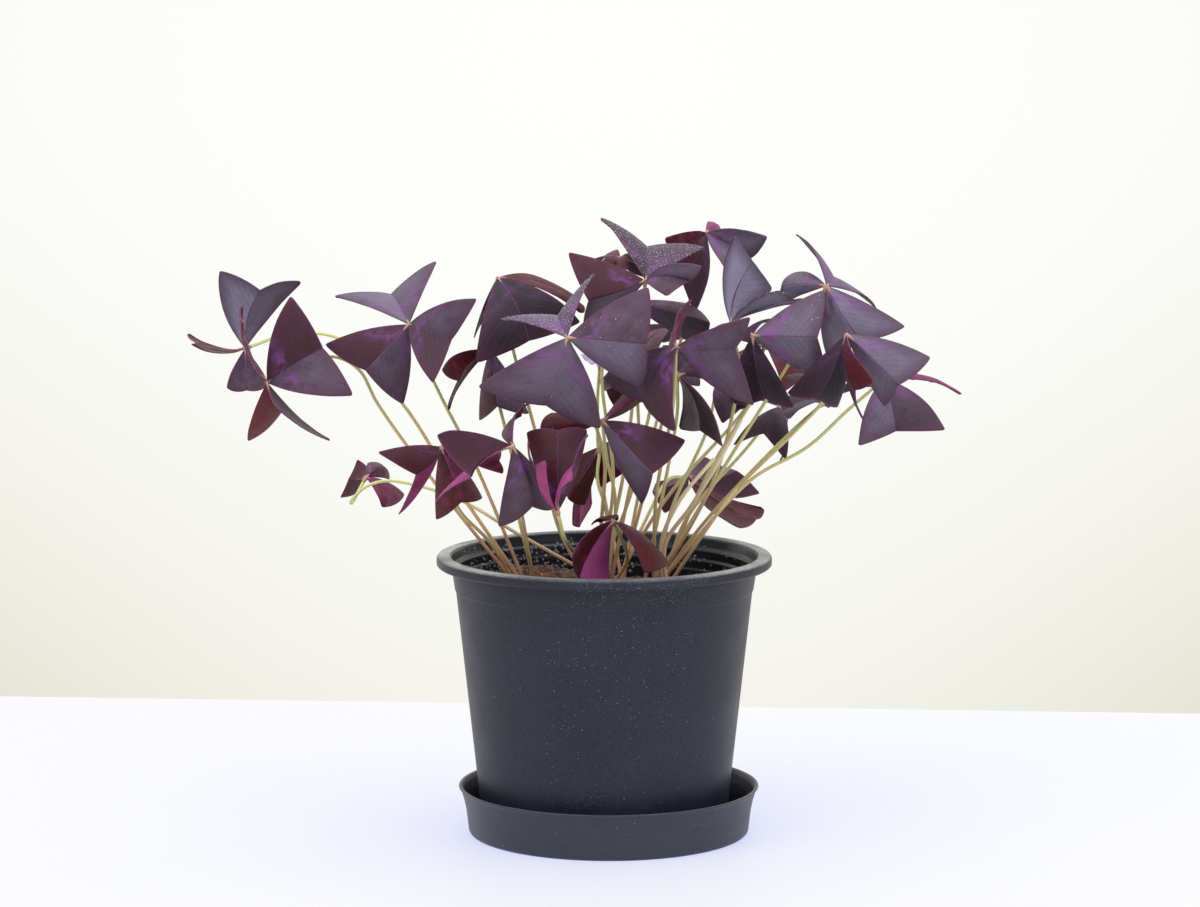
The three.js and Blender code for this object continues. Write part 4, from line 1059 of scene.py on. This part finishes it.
def velvety_blade():
    """A shamrock blade's skin, with its chevron, veins and rim.

    Its tone runs from -1, painted deep shade, over 0, plum, and 1, wine, to 2, magenta with a
    painted glow of light shining through the thin blade. From 3 to 4 it is plum under more and
    more of a painted pale bluish sheen, the overhead light that short velvety hairs catch. Its
    vein colour also paints a glow of light along the blade's edge.
    """
    nodes, given = surface_group(
        "velvety blade",
        ["Plum", "Wine", "Magenta Glow", "Shade", "Painted Sheen", "Margin", "Violet", "Vein And Edge Glow"],
        ["Tone", "Chevron", "Roughness"])
    times, plus, minus, ramp, mix = nodes.times, nodes.plus, nodes.minus, nodes.ramp, nodes.mix
    tone = given["Tone"]
    apart = nodes.split(nodes.add("ShaderNodeUVMap", uv_map="blade")[0])
    along = apart["Y"]
    across = nodes.math("ABSOLUTE", minus(apart["X"], 0.5))
    beside = times(across, along)
    place = nodes.place()
    cloud = nodes.noise(place, 170.0, 4.0)
    fine = nodes.noise(place, 2600.0, 1.0)
    patch = nodes.marked("patch")
    bare = times(tone, nodes.math("LESS_THAN", tone, 2.5))
    red = plus(bare, ramp(cloud, 0.3, 0.7, -0.14, 0.14))
    colour = mix(times(red, 1.0, clamp=True), given["Plum"], given["Wine"])
    # Painted glow: magenta stands in for light shining through the thin blade, over its own red.
    colour = mix(minus(red, 1.0, clamp=True), colour, given["Magenta Glow"])
    # Painted shade: tones below 0 darken the blade towards near black.
    colour = mix(times(red, -1.0, clamp=True), colour, given["Shade"])
    inset = nodes.math("MINIMUM", minus(1.0, along), minus(0.5, across))
    flush = times(ramp(inset, 0.14, 0.0, 0.0, 0.4), ramp(red, 0.4, 1.0, 1.0, 0.25))
    colour = mix(flush, colour, given["Margin"])
    # Painted sheen: from tone 3 to 4 a pale bluish colour stands in for overhead light caught by the
    # hairs.
    sheen_share = plus(minus(tone, 3.0), ramp(cloud, 0.3, 0.7, -0.05, 0.05))
    sheen_share = times(sheen_share, ramp(inset, 0.0, 0.2, 0.35, 1.12), clamp=True)
    colour = mix(sheen_share, colour, given["Painted Sheen"])
    arm = plus(minus(along, times(beside, 1.5)), ramp(cloud, 0.3, 0.7, -0.13, 0.13))
    band = nodes.math("ABSOLUTE", minus(arm, 0.22))
    fan = nodes.add("ShaderNodeCombineXYZ", {
        "X": times(along, 9.0), "Y": times(across, 9.0), "Z": times(patch, 9.0)})
    wisps = nodes.noise(fan[0], 1.0, 2.0)
    loud = nodes.math("MAXIMUM", ramp(tone, 0.5, 1.0, 1.0, 0.2), nodes.math("GREATER_THAN", tone, 2.5))
    loud = times(loud, ramp(tone, -0.6, 0.1, 0.25, 1.0))
    chevron = times(ramp(band, 0.15, 0.0), ramp(along, 0.62, 0.4), times(patch, given["Chevron"]),
                    ramp(wisps, 0.34, 0.6), loud)
    colour = mix(chevron, colour, given["Violet"])
    comb = nodes.math("SINE", times(minus(along, times(beside, 1.1)), 62.0))
    veins = times(ramp(comb, 0.86, 1.0), ramp(along, 0.1, 0.3))
    midrib = ramp(beside, 0.008, 0.003)
    lines = nodes.math("MAXIMUM", times(veins, 0.1), times(midrib, 0.5))
    colour = mix(lines, colour, given["Vein And Edge Glow"])
    # Painted glow: the blade's edge is lightened as if light shone through it; the same colour draws
    # the veins above.
    colour = mix(times(ramp(nodes.marked("rim"), 0.3, 1.0), 0.75), colour, given["Vein And Edge Glow"])
    nodes.give(
        Colour=colour, Roughness=plus(given["Roughness"], ramp(cloud, 0.3, 0.7, -0.07, 0.07)),
        Height=plus(minus(minus(times(fine, 0.25), veins), midrib), cloud))
    return nodes.tree


blade_skin = velvety_blade()


def blade_material(name, tone, chevron, roughness):
    """One side of a blade. Its tone is the name of the attribute that tells it."""
    return surfaced(name, blade_skin, 0.00012, {
        "Plum": (0.064, 0.034, 0.050, 1), "Wine": (0.072, 0.007, 0.008, 1),
        "Magenta Glow": (0.55, 0.10, 0.32, 1), "Shade": (0.017, 0.013, 0.018, 1),
        "Painted Sheen": (0.35, 0.315, 0.44, 1), "Margin": (0.115, 0.034, 0.068, 1),
        "Violet": (0.21, 0.065, 0.245, 1), "Vein And Edge Glow": (0.16, 0.06, 0.14, 1),
        "Tone": tone, "Chevron": chevron, "Roughness": roughness,
    }, Specular_IOR_Level=0.14, Sheen_Weight=0.02, Sheen_Roughness=0.4, Sheen_Tint=(0.7, 0.75, 1.0, 1))


upper_side = blade_material("leaf upper side", "upper tone", 1.0, 0.5)
underside = blade_material("leaf underside", "lower tone", 0.12, 0.45)
hub_material = fleshy(
    "leaf hub", 0.0001,
    (0.50, 0.40, 0.17), (0.55, 0.33, 0.22), (0.17, 0.05, 0.10), (0.45, 0.20, 0.14))


def downy(name):
    """Short hairs that stand on a piece: slim cones, as thick on it as its down says."""
    nodes, given = growing_tree(name, Float=["Density", "Length", "Girth"], Int=["Seed"],
                                Material=["Material"])
    amount = nodes.add("GeometryNodeInputNamedAttribute", {"Name": "down"}, data_type="FLOAT")
    spots = nodes.add("GeometryNodeDistributePointsOnFaces", {
        "Mesh": given["Geometry"], "Density": nodes.times(amount[0], given["Density"]),
        "Seed": given["Seed"],
    }, distribute_method="RANDOM")
    hair = nodes.add("GeometryNodeMeshCone", {
        "Vertices": 3, "Radius Top": 0.0, "Radius Bottom": given["Girth"], "Depth": given["Length"],
    })
    size = nodes.add("FunctionNodeRandomValue", {2: 0.6, 3: 1.2, "Seed": given["Seed"]},
                     data_type="FLOAT")
    strewn(nodes, spots, hair["Mesh"], size[1])
    return nodes.tree


down = downy("down")
hair_material, *_ = principled(
    "fine hair", Base_Color=(0.62, 0.50, 0.52, 1), Roughness=0.5, Specular_IOR_Level=0.3)
# Spray on the leaves: each drop is mostly milky white, a painted glint, and partly clear water.
spray, *_ = principled(
    "fine spray", Base_Color=(0.80, 0.84, 0.95, 1), Roughness=0.2, IOR=1.33, Transmission_Weight=0.35)


def hub_piece(name, hub, axis, leaflets, material):
    """The swollen joint under a hub, and the rib that runs from it under each leaflet."""
    place = Vector(hub)
    knuckle = [place - axis * down_from for down_from, _, _ in joint_shape]
    _, girths, alongs = zip(*joint_shape)
    paths = [(knuckle, girths, alongs, joint_hue)]
    _, girths, alongs = zip(*rib_shape)
    for corners, _, _ in leaflets:
        tip, notch, _ = corners
        normal, _ = upward_side(axis, *corners)
        rib = [place + notch * s + normal * (tip.length * blade_arch * hump(s) - rib_sink)
               for s, _, _ in rib_shape]
        paths.append((rib, girths, alongs, rib_hue))
    return stalk_piece(name, paths, hub_sides, material)


for name, home, hub, route, *leaflets in leaves:
    axis = arrival(hub, route)
    drawn = []
    for i, (tip_a, notch, tip_b, *tones) in enumerate(leaflets):
        corners = [seen(step) for step in (tip_a, notch, tip_b)]
        drawn.append((corners, tones, wet_leaflets.get((name, i), 0.0)))
    leaf = blade_piece(name + ".blades", hub, axis, drawn, blade_thickness, (upper_side, underside))
    if any(wet for _, _, wet in drawn):
        grown(leaf, beads, {
            "Spacing": 0.0007, "Density": 700000.0, "Smallest": 0.00008, "Largest": 0.00026,
            "Height": 0.7, "Fineness": 2, "Seed": 8, "Smooth": True, "Material": spray,
        })
    joined(leaf, hub_piece(name + ".hub", hub, axis, drawn, hub_material))
    rims = leaf.data.attributes["rim"].data
    near = [(vertex.co / MM - Vector(hub)).length < downy_hub for vertex in leaf.data.vertices]
    store(leaf, "POINT", {"down": [
        1.0 if close else rim_down if rim.value > 0.5 else 0.0 for close, rim in zip(near, rims)]})
    grown(leaf, down, {
        "Density": 450000.0, "Length": 0.0008, "Girth": 0.00003, "Seed": 12,
        "Material": hair_material,
    })
    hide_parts(name)
    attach(leaf, "root")

# ---- Flower ---------------------------------------------------------------------------
# One small bloom among the leaves: five thin pale lilac petals that open from a green
# throat into a funnel.

petals = 5
petal_length = 11.0
petal_notch = 0.96
petal_opening = 0.95
petal_spread = 0.5
petal_thickness = 0.3
petal_corners = [(-petal_spread, petal_length), (0, petal_length * petal_notch),
                 (petal_spread, petal_length)]


def petal_point(angle, length, axis):
    """Where a petal reaches at an angle round its bloom's axis."""
    turn = Vector((0, 0, 1)).rotation_difference(axis)
    flat = length * math.sin(petal_opening)
    point = Vector((flat * math.cos(angle), flat * math.sin(angle), length * math.cos(petal_opening)))
    return turn @ point


def petal_tissue():
    """Thin petal: fine darker lines that fade towards its edge, and a green throat."""
    nodes, given = surface_group("petal tissue", ["Lilac", "Line", "Throat"], [])
    apart = nodes.split(nodes.add("ShaderNodeUVMap", uv_map="blade")[0])
    comb = nodes.math("SINE", nodes.times(apart["X"], 70.0))
    lines = nodes.times(nodes.ramp(comb, 0.5, 1.0), nodes.ramp(apart["Y"], 0.95, 0.3))
    colour = nodes.mix(nodes.times(lines, 0.35), given["Lilac"], given["Line"])
    colour = nodes.mix(nodes.ramp(apart["Y"], 0.28, 0.05), colour, given["Throat"])
    nodes.give(Colour=colour, Roughness=nodes.ramp(lines, 0.0, 1.0, 0.55, 0.65), Height=lines)
    return nodes.tree


petal_material = surfaced("petal", petal_tissue(), 0.00005, {
    "Lilac": (0.72, 0.62, 0.88, 1), "Line": (0.55, 0.40, 0.76, 1), "Throat": (0.45, 0.55, 0.25, 1),
}, Subsurface_Weight=0.3, Subsurface_Radius=(0.003, 0.002, 0.004), Subsurface_Scale=0.3)
bloom_axis = arrival(bloom_hub, bloom_route)
funnel = []
for i in range(petals):
    angle = 2 * math.pi * i / petals
    corners = [petal_point(angle + turn, length, bloom_axis) for turn, length in petal_corners]
    funnel.append((corners, (0.0, 0.0), 0.0))
flower = blade_piece("flower_petals", bloom_hub, bloom_axis, funnel, petal_thickness,
                     (petal_material, petal_material))
joined(flower, hub_piece("flower_petals.hub", bloom_hub, bloom_axis, [], petiole_material))
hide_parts("flower")
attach(flower, "root")

# ---- Stage ----------------------------------------------------------------------------
# A pale table whose far edge stands out against a glowing wall, white above and darkened to
# cream by painted shade low down and at its sides, soft light from above and in front, and the
# camera. The wall is far enough back for the plant to be seen from behind.

table_size = 3.0
table_end = 0.298
table_slant = 0.0769
wall_distance = 2.6
wall_reach = 6.0
wall_foot = -1.0
wall_white = (1.0, 1.0, 0.985, 1)
wall_shade_cream = (0.762, 0.745, 0.62, 1)
# The glowing wall is darkened to cream by painted shade low down and towards both sides of
# its middle. Past the fade it is white again. These are in metres.
shade_low, shade_high = -0.443, 0.27
shade_side = 0.65
shade_fade = (0.75, 1.2)
room_white = (0.90, 0.93, 1.0, 1)
camera_place = (-0.0039, -1.8, 0.404)
camera_lens = 122.07
camera_sensor = 36

table = new_piece("table", [
    (-table_size, -table_size, 0), (table_size, -table_size, 0),
    (table_size, table_end - table_slant * table_size, 0),
    (-table_size, table_end + table_slant * table_size, 0),
], [(0, 1, 2, 3)])
table_material, *_ = principled(
    "pale table", Base_Color=(0.31, 0.28, 0.03, 1), Roughness=0.6, Specular_IOR_Level=0.1,
    Emission_Color=(0.49, 0.53, 0.90, 1), Emission_Strength=1.0)
table.data.materials.append(table_material)
wall = new_piece("wall", [
    (-wall_reach, wall_distance, wall_foot), (wall_reach, wall_distance, wall_foot),
    (wall_reach, wall_distance, wall_reach), (-wall_reach, wall_distance, wall_reach),
], [(0, 1, 2, 3)])
wall_material, nodes, shader = principled(
    "wall with painted shade", Base_Color=(0, 0, 0, 1), Roughness=1.0, Specular_IOR_Level=0.0, Emission_Strength=1.0)
apart = nodes.split(nodes.place())
# Painted shade on the wall: the glow falls to cream low down and at the sides.
lowness = nodes.math("POWER", nodes.ramp(apart["Z"], shade_low, shade_high, 1.0, 0.0), 2.0)
sideways = nodes.math("POWER", nodes.math("DIVIDE", apart["X"], shade_side), 2.0)
corner = nodes.times(lowness, nodes.plus(sideways, 1.0), 0.36)
gloom = nodes.plus(corner, nodes.times(sideways, 0.14), clamp=True)
within = nodes.ramp(nodes.math("ABSOLUTE", apart["X"]), *shade_fade, 1.0, 0.0)
nodes.link(nodes.mix(nodes.times(gloom, within), wall_white, wall_shade_cream), shader["Emission Color"])
wall.data.materials.append(wall_material)


def placed(name, data, place):
    """A lamp or camera, named and put in its place."""
    thing = bpy.data.objects.new(name, data)
    thing.location = place
    bpy.context.scene.collection.objects.link(thing)
    return thing


def panel(name, place, target, size, power, colour):
    """A soft rectangular light that faces its target."""
    light = bpy.data.lights.new(name, "AREA")
    light.shape = "RECTANGLE"
    light.size, light.size_y = size
    light.energy = power
    light.color = colour
    lamp = placed(name, light, place)
    lamp.rotation_euler = (Vector(target) - Vector(place)).to_track_quat("-Z", "Y").to_euler()


panel("window", (-1.5, -1.3, 1.6), (0, 0, 0.15), (1.6, 1.6), 16.0, (1.0, 0.95, 0.91))
panel("ceiling", (0.3, -0.1, 1.9), (0, 0.1, 0.1), (2.4, 1.6), 20.0, (0.93, 0.95, 1.0))
panel("fill", (1.6, -1.4, 0.8), (0, 0, 0.15), (1.4, 1.4), 8.0, (0.80, 0.88, 1.0))
world = bpy.data.worlds.new("room")
world.use_nodes = True
room = world.node_tree.nodes["Background"].inputs
room["Color"].default_value = room_white
nodes = Nodes(world.node_tree)
height = nodes.split(nodes.add("ShaderNodeTexCoord")["Generated"])["Z"]
nodes.link(nodes.ramp(height, -0.1, 0.7, 0.16, 1.2), room["Strength"])
bpy.context.scene.world = world
bpy.context.scene.view_settings.view_transform = "Standard"

camera_data = bpy.data.cameras.new("camera")
camera_data.sensor_width = camera_sensor
camera_data.lens = camera_lens
camera = placed("camera", camera_data, camera_place)
camera.rotation_euler = (math.pi / 2 - sight_tilt, 0, 0)
bpy.context.scene.camera = camera
